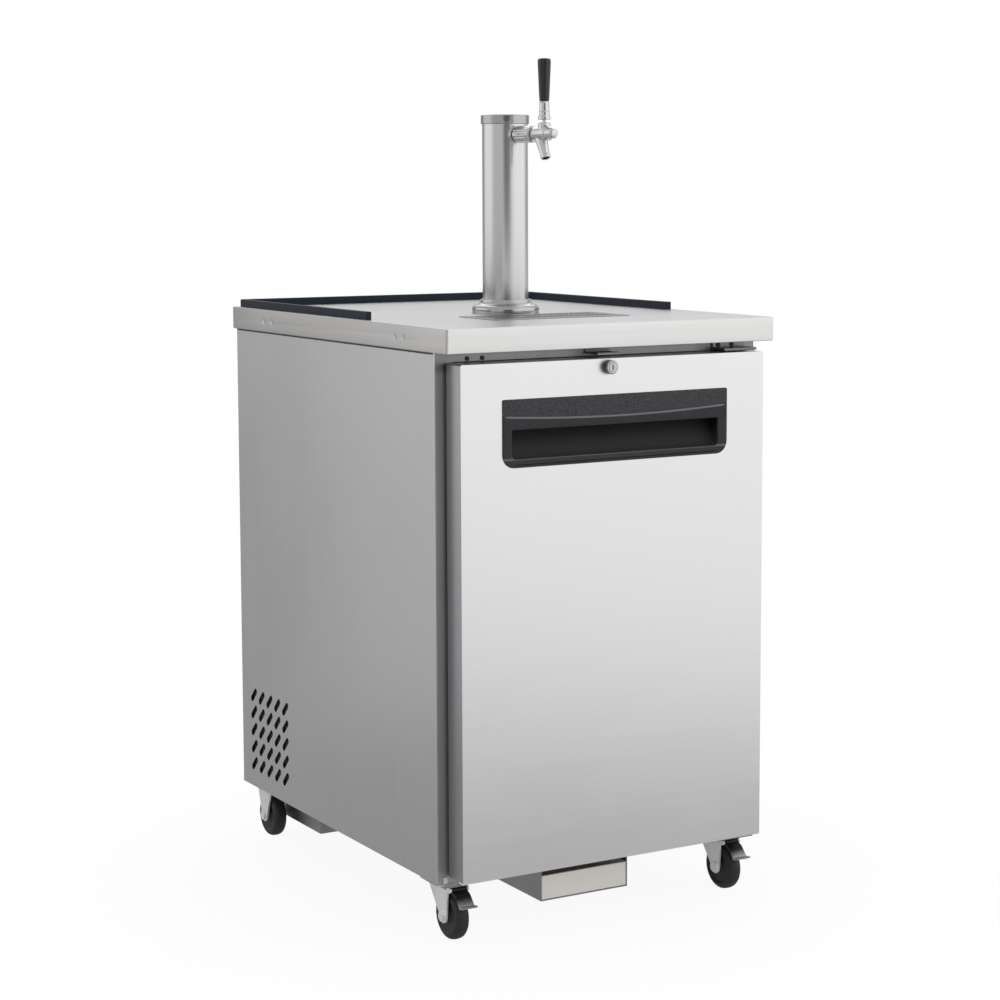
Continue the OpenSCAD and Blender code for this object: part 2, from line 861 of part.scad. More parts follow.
// Moulded recess: proud front face with a bowed ridge, finger mouth and a pocket that runs up behind the grip
module door_handle() {
  face_y = door_front - handle_proud;
  pocket_y = door_front + handle_depth;
  chord = handle_w / 2 - 5;
  ridge_r = (chord * chord + ridge_sag * ridge_sag) / (2 * ridge_sag);
  ridge_z = handle_z1 - ridge_drop - ridge_sag;
  color("#35373a") {
    front_plate(face_y, door_front) difference() {
      handle_outline(0);
      mouth_outline();
    }
    front_plate(door_front - 0.5, door_front + handle_wall) difference() {
      handle_outline(handle_flange);
      mouth_outline();
    }
    front_plate(door_front, pocket_y) difference() {
      handle_outline(handle_flange);
      handle_outline(handle_flange + handle_wall);
    }
    front_plate(pocket_y - handle_wall, pocket_y) handle_outline(handle_flange);
    front_plate(face_y - 1, face_y + 0.5) intersection() {
      translate([0, ridge_z + ridge_r]) difference() {
        circle(ridge_r, $fn = 1440);
        circle(ridge_r - ridge_h, $fn = 1440);
      }
      translate([-chord, ridge_z - 1]) square([2 * chord, ridge_sag + ridge_h + 2]);
    }
  }
}

module door_bushes() {
  color("ivory") bush_place() difference() {
    union() {
      rod_z(pin_r + bush_wall, -bush_l, 0.5);
      rod_z(pin_r + bush_wall + 3, 0, bush_lip);
    }
    rod_z(pin_r + run, -bush_l - 1, bush_lip + 1);
  }
}

// Brackets over and under the door's hinge corner, each with its fixed pin
module hinge_arm(leg_l) {
  plate_z = bush_lip + hinge_gap;
  translate([pin_x, 0, 0]) {
    between([-arm_in, pin_y - arm_out, plate_z], [arm_out, frame_y, plate_z + hinge_t]);
    between([-arm_in, frame_y - hinge_t, plate_z], [arm_out, frame_y, leg_l]);
    translate([0, pin_y, 0]) rod_z(pin_r, -bush_l + 2, plate_z + hinge_t);
  }
}

module hinge_brackets() {
  color("#3a3b40") {
    translate([0, 0, door_z1]) hinge_arm(door_top_gap - gap);
    translate([0, 0, door_z0]) mirror([0, 0, 1]) hinge_arm(door_rise);
  }
}

// Low screw heads on the hinge legs, spare hinge places and rear grille
module cabinet_screws() {
  screw_r = 3.5;
  screw_h = 1.8;
  spare_z = door_z1 + 5.5;
  hinge_z = door_z1 + 10;
  corner = 11;
  color("#2b2c30") {
    for (x = [pin_in + 24.5, pin_in + 50.8])
      translate([x - door_x, 0, spare_z]) rod_y(screw_r, frame_y - screw_h, frame_y);
    for (x = [arm_in * 0.3, arm_in * 0.8])
      translate([pin_x - x, 0, hinge_z]) rod_y(screw_r, frame_y - hinge_t - screw_h, frame_y - hinge_t);
    for (s = [-1, 1], z = [base_z + corner, machine_z - corner])
      translate([s * (cab_in - corner), 0, z]) rod_y(screw_r, cab_back, cab_back + screw_h);
  }
}

// Lock

module lock_body() {
  ring_r = lock_d / 2;
  color("silver") translate([lock_x, 0, lock_z]) difference() {
    union() {
      rod_y(ring_r - 2, door_front - 1, lock_back - gap);
      rod_y(ring_r, door_front - lock_proj + 2, door_front);
      rod_y(ring_r - 1, door_front - lock_proj + 0.5, door_front - lock_proj + 3);
    }
    rod_y(plug_r + run, door_front - lock_proj - 1, lock_back + 1);
  }
}

module lock_plug() {
  face = door_front - lock_proj;
  color("lightgray") translate([lock_x, 0, lock_z]) {
    difference() {
      rod_y(plug_r, face, lock_back + 0.5);
      between([-0.9, face - 1, -4], [0.9, face + 6, 4]);
    }
    front_plate(lock_back, lock_back + tongue_t) {
      circle(tongue_w / 2);
      translate([0, -tongue_w / 2]) square([tongue_l - 2, tongue_w]);
      translate([tongue_l - 4, 0]) square([4, tongue_w - 4], center = false);
    }
  }
}

// Refrigeration

module paddle(r_hub, r_tip) {
  translate([r_hub - 2, -r_tip * 0.2]) square([r_tip * 0.62 - r_hub, r_tip * 0.4]);
  translate([r_tip * 0.62, 0]) circle(r_tip * 0.33);
}

module fan_blades(r_hub, r_tip, count, pitch_deg, y) {
  for (i = [0 : count - 1])
    translate([0, y, 0]) rotate([0, i * 360 / count, 0]) rotate([pitch_deg, 0, 0])
      front_plate(-0.8, 0.8) paddle(r_hub, r_tip);
}

// Finned coil: plates square to X, tubes through them, end plates
module fin_pack(x0, x1, y0, y1, z0, z1, fins, rows, foot_z) {
  pitch = (x1 - x0) / fins;
  row = (z1 - z0) / rows;
  for (i = [1 : fins - 1]) translate([x0 + i * pitch - 0.5, y0, z0]) cube([1, y1 - y0, z1 - z0]);
  for (x = [x0, x1]) between([x - 1, y0, foot_z], [x + 1, y1, z1]);
  for (j = [0 : rows - 1], y = [y0 * 0.72 + y1 * 0.28, y0 * 0.28 + y1 * 0.72])
    translate([0, y, z0 + (j + 0.5) * row]) rod_x(4.8, x0 - 8, x1 + 8);
}

module evaporator_cover() {
  outlets = 8;
  color("whitesmoke") difference() {
    between([-evap_x, evap_y, evap_z0], [evap_x, bay_back, evap_z1]);
    between([-evap_x + evap_t, evap_y + evap_t, evap_z0 + evap_t],
            [evap_x - evap_t, bay_back + 1, evap_z1 - evap_t]);
    translate([evap_fan_x, 0, evap_mid]) rod_y(evap_fan_hole, evap_y - 1, evap_y + evap_t + 1);
    for (i = [0 : outlets - 1])
      translate([evap_x - outlet_in - outlet_w, evap_y - 1, evap_z0 + outlet_rise + i * outlet_pitch])
        cube([outlet_w, evap_t + 2, outlet_pitch / 2]);
    translate([knob_x, 0, knob_z]) rod_y(spindle_r + run, evap_y - 1, evap_y + evap_t + 1);
  }
}

module evaporator_coil() {
  color("silver")
    fin_pack(evap_edge, evap_x - evap_edge, bay_back - evap_fin_d, bay_back,
             evap_z0 + evap_edge, evap_z1 - evap_edge, 16, 5, evap_z0 + evap_edge);
}

module evaporator_fan() {
  y0 = evap_y + evap_fan_gap;
  color("dimgray") translate([evap_fan_x, 0, evap_mid]) difference() {
    union() {
      rod_y(evap_hub_r, y0, y0 + evap_hub_l);
      fan_blades(evap_hub_r, evap_tip_r, 5, 26, y0 + evap_hub_l / 2);
    }
    rod_y(motor_shaft_r + run, y0 - 1, y0 + evap_hub_l + 1);
  }
}

module thermostat_knob() {
  y1 = evap_y - gap;
  color("#26282b") translate([knob_x, 0, knob_z]) {
    rod_y(knob_r, y1 - knob_l, y1);
    rod_y(spindle_r, y1 - 1, evap_y + 2 * spindle_r);
    between([-2, y1 - knob_l - 3, -knob_r + 2], [2, y1 - knob_l + 1, knob_r - 2]);
  }
}

// Hermetic pot on four rubber feet, with its pipe stubs
module compressor() {
  plate_z = well_floor + comp_foot;
  seam_z = plate_z + comp_seam;
  shoulder_z = plate_z + comp_shoulder;
  stub_z = shoulder_z + comp_dome + 12;
  color("#202225") translate([comp_x, comp_y, 0]) {
    rotate_extrude() {
      translate([0, plate_z]) square([comp_r - 4, comp_seam + 1]);
      translate([0, seam_z]) square([comp_r, shoulder_z - seam_z]);
      intersection() {
        translate([0, shoulder_z]) circle(comp_r);
        translate([0, shoulder_z - 1]) square([comp_r, comp_dome + 1]);
      }
    }
    translate([0, 0, plate_z]) linear_extrude(3) rounded_rect(comp_plate_w, comp_plate_d, comp_plate_r);
    for (sx = [-1, 1], sy = [-1, 1])
      translate([sx * (comp_plate_w / 2 - comp_plate_r), sy * (comp_plate_d / 2 - comp_plate_r), 0])
        rod_z(comp_foot_r, well_floor, plate_z + 1);
    translate([comp_r * 0.55, 0, 0]) rod_z(4, shoulder_z, stub_z);
    translate([-comp_r * 0.4, comp_r * 0.4, 0]) rod_z(5, shoulder_z, stub_z);
  }
}

module condenser() {
  color("#3b3d40")
    fin_pack(cond_x0, cond_x1, cond_y0, cond_y1, cond_z0, cond_z1, 20, 6, well_floor);
}

// Motors of the two fans: one on the bay's back wall, one on legs in the machine pan
module fan_motors() {
  y1 = fan_y - motor_space;
  color("#303236") {
    translate([evap_fan_x, 0, evap_mid]) {
      rod_y(evap_motor_r, bay_back - evap_motor_l, bay_back);
      rod_y(motor_shaft_r, evap_y + evap_fan_gap - 2, bay_back - evap_motor_l + 1);
    }
    translate([fan_x, 0, fan_z]) {
      rod_y(motor_r, y1 - motor_l, y1);
      rod_y(motor_shaft_r, y1 - 1, fan_y + fan_hub_l + 2);
    }
    translate([fan_x, 0, 0])
      between([-motor_leg_x, y1 - motor_l + motor_leg_in, well_floor],
              [motor_leg_x, y1 - motor_leg_in, fan_z]);
  }
}

module condenser_fan() {
  color("silver") translate([fan_x, 0, fan_z]) difference() {
    union() {
      rod_y(fan_hub_r, fan_y, fan_y + fan_hub_l);
      fan_blades(fan_hub_r, fan_tip_r, 5, 28, fan_y + fan_hub_l / 2);
    }
    rod_y(motor_shaft_r + run, fan_y - 1, fan_y + fan_hub_l + 1);
  }
}

// Lined way for the gas hose through the back wall
module gas_port_bush() {
  color("black") translate([gas_x, 0, gas_z]) difference() {
    union() {
      rod_y(gas_r + gas_wall, bay_back - 3, cab_back + 1);
      rod_y(gas_r + gas_wall + 6, cab_back, cab_back + 3);
    }
    rod_y(gas_r, bay_back - 4, cab_back + 4);
  }
}

module power_inlet() {
  nut_t = 5;
  color("#1d1e20") translate([inlet_x, 0, inlet_z]) {
    rod_y(inlet_r, back_in - nut_t, cab_back + nut_t);
    rod_y(inlet_r + inlet_lip, cab_back, cab_back + nut_t);
    rod_y(inlet_r + inlet_lip, back_in - nut_t, back_in);
  }
}

// Tower

module tower_flange() {
  r = flange_d / 2;
  rim_h = 11;
  edge = 3;
  collar_r = tube_r + 3.5;
  sweep = min(r - collar_r, 9);
  color("silver") translate([0, tower_y, counter_h]) rotate_extrude($fn = 96) difference() {
    union() {
      square([r - edge, rim_h + edge]);
      square([r, rim_h]);
      translate([r - edge, rim_h]) circle(edge);
      square([collar_r, flange_h]);
    }
    translate([-1, -1]) square([tower_hole_r + 1, flange_h + 2]);
    translate([-1, socket_z - counter_h]) square([tube_r + run + 1, flange_h]);
    translate([r, flange_h - 4]) circle(sweep);
  }
}

module tower_tube() {
  color("gainsboro") translate([0, tower_y, 0]) difference() {
    rod_z(tube_r, socket_z, tower_top - cap_h);
    rod_z(tube_r - tower_wall, socket_z - 1, tower_top);
    translate([0, 0, tap_z]) rod_y(shank_r + loose, -tower_d, 0);
  }
}

module tower_cap() {
  r = tube_r + 2;
  plug_l = max(1, tap_drop - cap_h - inner_nut_r - 0.5);
  color("lightgray") translate([0, tower_y, tower_top - cap_h]) rotate_extrude($fn = 96) {
    square([r, cap_h - 3]);
    square([r - 3, cap_h]);
    translate([r - 3, cap_h - 3]) circle(3);
    translate([0, -plug_l]) square([tube_r - tower_wall - loose, plug_l + 1]);
  }
}

// Rigid line: out of the shank, a bend, then down the tower to below the slab
module riser_tube() {
  color("silver") {
    translate([0, tower_y, 0]) difference() {
      rod_z(riser_r, riser_end, tap_z - elbow_r);
      rod_z(riser_r - 1.2, riser_end - 1, tap_z - elbow_r + 1);
    }
    translate([0, tower_y - elbow_r, tap_z - elbow_r]) rotate([90, 0, 90])
      rotate_extrude(angle = 90) translate([elbow_r, 0]) difference() {
        circle(riser_r);
        circle(riser_r - 1.2);
      }
  }
}

module shank() {
  inner_y = tower_y - elbow_r;
  wall_y = tower_y - tube_r;
  color("silver") translate([0, 0, tap_z]) difference() {
    union() {
      rod_y(shank_r, nut_y0 + 4, inner_y);
      difference() {
        rod_y(shank_r + 5, wall_y - 6, wall_y + 4);
        translate([0, tower_y, 0]) rod_z(tube_r + run, -shank_r - 6, shank_r + 6);
      }
      intersection() {
        rod_y(inner_nut_r, wall_y, inner_y - 4);
        translate([0, tower_y, 0]) rod_z(tube_r - tower_wall - run, -shank_r - 6, shank_r + 6);
      }
    }
    rod_y(shank_bore, nut_y0, inner_y + 1);
  }
}

// Knurled nut that draws the faucet onto the shank
module coupling_nut() {
  notches = 16;
  color("lightgray") translate([0, 0, tap_z]) difference() {
    rod_y(nut_r, nut_y0, nut_y1 - 1);
    rod_y(shank_r + run, nut_y0 + 4, nut_y1);
    rod_y(barrel_r - 3 + run, nut_y0 - 1, nut_y0 + 5);
    for (i = [0 : notches - 1])
      rotate([0, i * 360 / notches, 0]) translate([nut_r + 0.6, 0, 0]) rod_y(1.6, nut_y0 + 3, nut_y1);
  }
}

// Faucet barrel with lever boss, forward spout and the bore of the sliding shaft
module faucet_body() {
  nose_y = tap_y - 23;
  nose_r = barrel_r - 3;
  tail_r = barrel_r - 3;
  color("lightgray") translate([0, 0, tap_z]) difference() {
    union() {
      rod_y(barrel_r, tap_y - 11, nut_y0 - gap);
      rod_y(tail_r, nut_y0 - 1, nut_y0 + 4 - run);
      rod_y(nose_r, nose_y, tap_y - 10);
      translate([0, nose_y, 0]) sphere(nose_r);
      translate([0, tap_y, 0]) rod_z(dome_r, 0, pivot_rise);
      translate([0, tap_y + spout_back, 0]) rotate([-spout_tilt, 0, 0])
        translate([0, 0, -spout_l]) cylinder(r1 = spout_r, r2 = barrel_r - 2, h = spout_l);
    }
    rod_y(shaft_r + run, nose_y + 3, nut_y0 + 5);
    translate([0, tap_y, 0]) rod_z(ball_r + gap, 2, pivot_rise + 1);
    translate([0, tap_y, 0]) rod_z(dome_r + gap, pivot_rise, pivot_rise + dome_r);
    translate([0, tap_y, pivot_rise]) rod_x(trunnion_r + run, -trunnion_l - gap, trunnion_l + gap);
    translate([0, tap_y + spout_back, 0]) rotate([-spout_tilt, 0, 0]) rod_z(spout_r - 2.2, -spout_l - 1, -2);
  }
}

// Domed collar over the lever's ball, round about the pivot so that the lever's skirt clears it at any angle
module faucet_collar() {
  color("silver") translate([0, tap_y, pivot_z]) difference() {
    intersection() {
      sphere(dome_r);
      rod_z(dome_r + 1, 0, dome_r + 1);
    }
    rod_z(collar_bore, -1, dome_r + 1);
    rod_x(trunnion_r + run, -trunnion_l - gap, trunnion_l + gap);
  }
}

// Plunger worked by the lever's finger; the hole flares upwards for the finger's tilt
module faucet_shaft() {
  shaft_front = 13;
  shaft_back = 26;
  hole_r = finger_r + gap;
  color("goldenrod") translate([0, tap_y, tap_z]) difference() {
    rod_y(shaft_r, -shaft_front, shaft_back);
    rod_z(hole_r, -shaft_r - 1, 0.5);
    cylinder(r1 = hole_r, r2 = finger_flare, h = shaft_r + 1);
  }
}

// Lever: ball on two trunnions, round-ended finger below, stem and ferrule above
module tap_lever() {
  color("gainsboro") translate([0, tap_y, pivot_z]) {
    sphere(ball_r);
    rod_x(trunnion_r, -trunnion_l, trunnion_l);
    rod_z(finger_neck, -pivot_rise, 0);
    translate([0, 0, -pivot_rise]) sphere(finger_r);
    rod_z(lever_r, 0, dome_r + 2);
    translate([0, 0, -pivot_z]) {
      rod_z(9.9, skirt_z, ferrule_z0);
      rod_z(8.3, ferrule_z0 - 1, ferrule_z1);
      rod_z(stud_r, ferrule_z1 - 1, ferrule_z1 + stud_l);
    }
  }
}

module tap_handle() {
  r0 = tap_handle_d * 0.37;
  r1 = tap_handle_d / 2;
  top = ferrule_z1 + tap_handle_l;
  color("#1c1d1f") translate([0, tap_y, 0]) difference() {
    union() {
      translate([0, 0, ferrule_z1]) cylinder(r1 = r0, r2 = r1, h = tap_handle_l - 4);
      translate([0, 0, top - 4]) cylinder(r1 = r1, r2 = r1 - 1.5, h = 4);
    }
    rod_z(stud_r + run, ferrule_z1 - 1, ferrule_z1 + stud_l + loose);
  }
}

// Casters

module caster_place(sign) {
  translate([sign * caster_x, swivel_y, 0]) children();
}

module rear_place(sign) {
  translate([sign * caster_x, rear_axle_y, 0]) children();
}

// Tapered side plates of a fork, from the crown down to the axle boss
module fork_sides(axle_y, rear, front, top) {
  for (s = [-1, 1])
    side_plate(s > 0 ? fork_in : -fork_out, s > 0 ? fork_out : -fork_in) difference() {
      union() {
        polygon([[rear, top], [front, top], [axle_y - boss_r, wheel_r], [axle_y + boss_r, wheel_r]]);
        translate([axle_y, wheel_r]) circle(boss_r);
      }
      translate([axle_y, wheel_r]) circle(axle_r + run);
    }
}

module axle(axle_y) {
  translate([0, axle_y, wheel_r]) {
    rod_x(axle_r, -fork_out - 3, fork_out + 3);
    for (s = [-1, 1]) rod_x(8, s > 0 ? fork_out : -fork_out - 4, s > 0 ? fork_out + 4 : -fork_out);
  }
}

// Swivel fork: crown, race, tapered sides, ears for the brake pedal, and its axle
module swivel_fork() {
  race_top = base_z - channel_h - gap;
  front = -trail - 14;
  color("gainsboro") {
    difference() {
      union() {
        between([-fork_out, front, crown_z], [fork_out, head_r - 2, crown_z + crown_t]);
        rod_z(head_r, crown_z, race_top);
        for (s = [-1, 1])
          side_plate(s > 0 ? fork_in : -fork_out, s > 0 ? fork_out : -fork_in) {
            translate([pedal_y, pedal_z]) circle(ear_r);
            polygon([[pedal_y, pedal_z - ear_r], [front + 2, crown_z], [front + 2, pedal_z + 3],
                     [pedal_y, pedal_z + ear_r]]);
          }
      }
      rod_z(king_r + run, crown_z - 1, race_top + 1);
    }
    fork_sides(-trail, head_r - 2, front, crown_z + 1);
    translate([0, pedal_y, pedal_z]) rod_x(pedal_r, -fork_out, fork_out);
    axle(-trail);
  }
}

module front_left_fork() {
  caster_place(-1) swivel_fork();
}

module front_right_fork() {
  caster_place(1) swivel_fork();
}

// Fixed rear forks with their axles
module rear_forks() {
  half = 28;
  color("gainsboro") for (s = [-1, 1]) rear_place(s) {
    difference() {
      between([-fork_out, -half, base_z - crown_t], [fork_out, half, base_z]);
      rod_z(king_r + loose, base_z - crown_t - 1, base_z + 1);
    }
    fork_sides(0, half, -half, base_z - crown_t + 1);
    axle(0);
  }
}

// Bolts of the four casters with their nuts
module caster_bolts() {
  head_h = 4.5;
  channel_z = base_z - channel_h + channel_t;
  color("darkgray") for (s = [-1, 1]) {
    caster_place(s) {
      rod_z(9, crown_z - gap - head_h, crown_z - gap);
      rod_z(king_r, crown_z - gap - 1, base_z - 0.5);
      translate([0, 0, channel_z]) cylinder(r = 10, h = base_z - 0.5 - channel_z, $fn = 6);
    }
    rear_place(s) {
      rod_z(9, base_z - crown_t - head_h, base_z - crown_t);
      rod_z(king_r, base_z - crown_t - 1, base_top + 6);
      translate([0, 0, base_top]) cylinder(r = 10, h = 6, $fn = 6);
    }
  }
}

// Wheel: rounded tread over a dished hub
module wheel(axle_y) {
  half = wheel_w / 2;
  edge = 6;
  color("#232426") translate([0, axle_y, wheel_r]) rotate([0, 90, 0]) rotate_extrude($fn = 72) difference() {
    union() {
      translate([0, -half + edge]) square([wheel_r, wheel_w - 2 * edge]);
      translate([0, -half]) square([wheel_r - edge, wheel_w]);
      for (s = [-1, 1]) translate([wheel_r - edge, s * (half - edge)]) circle(edge);
      translate([0, -half - 1]) square([boss_r, wheel_w + 2]);
    }
    translate([-1, -wheel_w]) square([axle_r + run + 1, 2 * wheel_w]);
    for (s = [-1, 1])
      translate([15, s * (half - 0.5) - 2]) square([wheel_r - edge - 19, 4]);
  }
}

module front_left_wheel() {
  caster_place(-1) wheel(-trail);
}

module front_right_wheel() {
  caster_place(1) wheel(-trail);
}

module rear_left_wheel() {
  rear_place(-1) wheel(0);
}

module rear_right_wheel() {
  rear_place(1) wheel(0);
}

// Pedal: knuckle on the fork's pin, an arm down to a plate ahead of the wheel and a shoe below. The shoe
// is set back by the pedal's swing from the line to the axle, so that it is nearest to the tread when pressed
module brake_pedal() {
  w = 2 * fork_in - 2;
  to_axle = [-trail - pedal_y, wheel_r - pedal_z];
  shoe_a = atan2(to_axle[1], to_axle[0]) - pedal_swing;
  shoe_l = norm(to_axle) - wheel_r - gap;
  color("#3c3e42") translate([0, pedal_y, pedal_z]) difference() {
    union() {
      rod_x(ear_r, -w / 2, w / 2);
      side_plate(-wheel_w / 4, wheel_w / 4) rotate(shoe_a) {
        translate([0, -2]) square([shoe_l - 2, 4]);
        translate([shoe_l - 2, 0]) circle(2);
      }
      side_plate(-w / 2, w / 2)
        polygon([[0, -ear_r], [-0.4 * pedal_l, -pedal_fall / 2], [-0.68 * pedal_l, -pedal_fall],
                 [-pedal_l + 2, -pedal_fall + 2.5], [-pedal_l, -pedal_fall + 6],
                 [-0.7 * pedal_l, -pedal_fall + 4], [-0.37 * pedal_l, -pedal_fall / 4], [0, 1]]);
    }
    rod_x(pedal_r + run, -w, w);
  }
}

module left_brake_pedal() {
  caster_place(-1) brake_pedal();
}

module right_brake_pedal() {
  caster_place(1) brake_pedal();
}

counter_top();
counter_core();
guard_rail();
drip_tray();
drip_grille();
side_panel_left();
side_panel_right();
back_panel();
rear_grille();
front_frame();
lock_keeper();
liner();
side_foam();
inner_foam();
keg_floor();
base_pan();
machine_pan();
pan_sleeve();
condensate_pan();
hinge_brackets();
cabinet_screws();
door_skin();
door_foam();
door_liner();
door_gasket();
door_handle();
door_bushes();
lock_body();
lock_plug();
evaporator_cover();
evaporator_coil();
evaporator_fan();
thermostat_knob();
compressor();
condenser();
fan_motors();
condenser_fan();
gas_port_bush();
power_inlet();
tower_flange();
tower_tube();
tower_cap();
riser_tube();
shank();
coupling_nut();
faucet_body();
faucet_collar();
faucet_shaft();
tap_lever();
tap_handle();
caster_bolts();
rear_forks();
front_left_fork();
front_right_fork();
front_left_wheel();
front_right_wheel();
rear_left_wheel();
rear_right_wheel();
left_brake_pedal();
right_brake_pedal();
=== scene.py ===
import math

import bmesh
import bpy
import numpy as np
from mathutils import Matrix


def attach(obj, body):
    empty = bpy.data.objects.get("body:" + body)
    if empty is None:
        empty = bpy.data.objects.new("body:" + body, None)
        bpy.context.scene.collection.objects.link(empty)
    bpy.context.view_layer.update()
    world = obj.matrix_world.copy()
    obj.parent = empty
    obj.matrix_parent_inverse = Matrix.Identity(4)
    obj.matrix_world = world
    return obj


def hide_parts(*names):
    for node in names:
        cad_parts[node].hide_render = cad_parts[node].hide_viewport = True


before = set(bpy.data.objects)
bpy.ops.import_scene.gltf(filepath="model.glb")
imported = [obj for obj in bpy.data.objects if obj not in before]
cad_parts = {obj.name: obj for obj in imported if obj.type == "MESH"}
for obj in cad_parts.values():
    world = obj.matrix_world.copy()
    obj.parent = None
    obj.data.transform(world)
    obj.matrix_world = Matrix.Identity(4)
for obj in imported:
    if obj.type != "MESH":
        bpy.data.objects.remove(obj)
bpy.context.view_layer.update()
print("frame loaded:", len(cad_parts), "nodes")


# camera: stands front left, a little above the counter
view = dict(place=(-1.9140, -3.3533, 1.1545), yaw=30.012, pitch=-6.050, roll=-0.199, lens=82.74, sensor=36.0,
            shift=(-0.0041, -0.0679), farthest=60.0)


def addCamera(v):
    data = bpy.data.cameras.new("viewCamera")
    data.lens = v["lens"]
    data.sensor_width = v["sensor"]
    data.shift_x, data.shift_y = v["shift"]
    data.clip_end = v["farthest"]
    cam = bpy.data.objects.new("viewCamera", data)
    bpy.context.scene.collection.objects.link(cam)
    turn = (Matrix.Rotation(math.radians(-v["yaw"]), 4, "Z")
            @ Matrix.Rotation(math.radians(90.0 + v["pitch"]), 4, "X")
            @ Matrix.Rotation(math.radians(v["roll"]), 4, "Z"))
    cam.matrix_world = Matrix.Translation(v["place"]) @ turn
    bpy.context.scene.camera = cam


addCamera(view)
print("camera set")


# shader maths: a wrapped socket that takes part in Python expressions
class Wire:
    def __init__(self, nodes, socket):
        self.nodes, self.socket = nodes, socket

    def calc(self, operation, a, b):
        return self.nodes.node("ShaderNodeMath", dict(operation=operation), {0: a, 1: b})[0]

    def __add__(self, other):
        return self.calc("ADD", self, other)

    __radd__ = __add__

    def __mul__(self, other):
        return self.calc("MULTIPLY", self, other)

    __rmul__ = __mul__

    def __sub__(self, other):
        return self.calc("SUBTRACT", self, other)

    def __rsub__(self, other):
        return self.calc("SUBTRACT", other, self)

    def __pow__(self, other):
        return self.calc("POWER", self, other)


# a node tree: one method makes any node, setting it up first and then giving its sockets values or links
class Nodes:
    def __init__(self, tree):
        self.tree = tree

    def node(self, kind, settings, sockets, out=None):
        made = self.tree.nodes.new(kind)
        for key, value in settings.items():
            setattr(made, key, value)
        for key, value in sockets.items():
            if isinstance(value, Wire):
                self.tree.links.new(value.socket, made.inputs[key])
            else:
                made.inputs[key].default_value = value
        names = out or [s.name for s in made.outputs if s.enabled]
        return [Wire(self, next(s for s in made.outputs if s.name == n and s.enabled)) for n in names]

    # 0..1 between two levels of a value, eased at both ends
    def ramp(self, value, low, high):
        return self.node("ShaderNodeMapRange", dict(interpolation_type="SMOOTHSTEP"),
                         {"Value": value, "From Min": low, "From Max": high})[0]

    def split(self, vector):
        return self.node("ShaderNodeSeparateXYZ", {}, {0: vector})

    # how far a vector reaches along a way
    def along(self, vector, way):
        return self.node("ShaderNodeVectorMath", dict(operation="DOT_PRODUCT"), {0: vector, 1: way}, out=["Value"])[0]

    def rays(self):
        return self.node("ShaderNodeLightPath", {}, {}, out=["Is Camera Ray", "Is Glossy Ray", "Is Transmission Ray"])


# a material: what is the same all over is set on its shader, and what varies is fed in by wires
class Look(Nodes):
    def __init__(self, name, **fixed):
        self.mat = bpy.data.materials.new(name)
        self.mat.use_nodes = True
        super().__init__(self.mat.node_tree)
        self.shader = self.tree.nodes["Principled BSDF"]
        for key, value in fixed.items():
            self.shader.inputs[key.replace("_", " ")].default_value = value
        self.place = self.node("ShaderNodeTexCoord", {}, {}, out=["Object"])[0]

    def feed(self, **wires):
        for key, wire in wires.items():
            self.tree.links.new(wire.socket, self.shader.inputs[key.replace("_", " ")])
        return self

    # noise in a space stretched along each axis, 0..1
    def grain(self, stretch, detail=3.0, roughness=0.55):
        spread = self.node("ShaderNodeVectorMath", dict(operation="MULTIPLY"), {0: self.place, 1: stretch})[0]
        return self.node("ShaderNodeTexNoise", {},
                         dict(Vector=spread, Scale=1.0, Detail=detail, Roughness=roughness))[0]

    # dark where the mask is 0, light where it is 1; inputs 6 and 7 are the Mix node's two colours
    def blendColours(self, mask, dark, light):
        ends = [c if isinstance(c, Wire) else (*c, 1.0) for c in (dark, light)]
        return self.node("ShaderNodeMix", dict(data_type="RGBA"), {0: mask, 6: ends[0], 7: ends[1]}, out=["Result"])[0]

    def relief(self, height, strength, distance):
        return self.node("ShaderNodeBump", {}, dict(Height=height, Strength=strength, Distance=distance))[0]

    # 1 where the face looks along an axis of the object, either way
    def faces(self, axis, low=0.4, high=0.7):
        normal = self.split(self.node("ShaderNodeTexCoord", {}, {}, out=["Normal"])[0])
        return self.ramp(normal["xyz".index(axis)] ** 2.0, low, high)


# brushed metal: streaks drawn out along the brushing, over broad patches of uneven handling;
# faces that look along each listed axis take that axis's colour, painted light and shade by facing; the height bands
# are painted shade between two heights in metres
brushing = dict(patch=(5.0, 5.0, 5.0), detail=2.0, shadeBandEase=0.012, roughStreak=0.16, roughPatch=0.08, height=0.0004)


def steelLook(name, dark, light, stretch, rough, depth, cloud=0.25, turned=(), paintedShadeBands=(), metallic=1.0):
    s = brushing
    look = Look(name, Metallic=metallic)
    streak = look.grain(stretch, detail=s["detail"])
    patch = look.grain(s["patch"], detail=s["detail"])
    colour = look.blendColours(streak * (1.0 - cloud) + patch * cloud, dark, light)
    # painted light and shade: faces that look along an axis get that axis's colour
    for axis, tone in turned:
        colour = look.blendColours(look.faces(axis), colour, tone)
    # painted shade: a darker tone between two heights
    for low, high, tone in paintedShadeBands:
        z = look.split(look.place)[2]
        inside = look.ramp(z, low, low + s["shadeBandEase"]) * (1.0 - look.ramp(z, high - s["shadeBandEase"], high))
        colour = look.blendColours(inside, colour, tone)
    look.feed(Base_Color=colour, Roughness=rough + (streak - 0.5) * s["roughStreak"] + (patch - 0.5) * s["roughPatch"])
    return look.feed(Normal=look.relief(streak * (depth * s["height"]), 1.0, 1.0)).mat


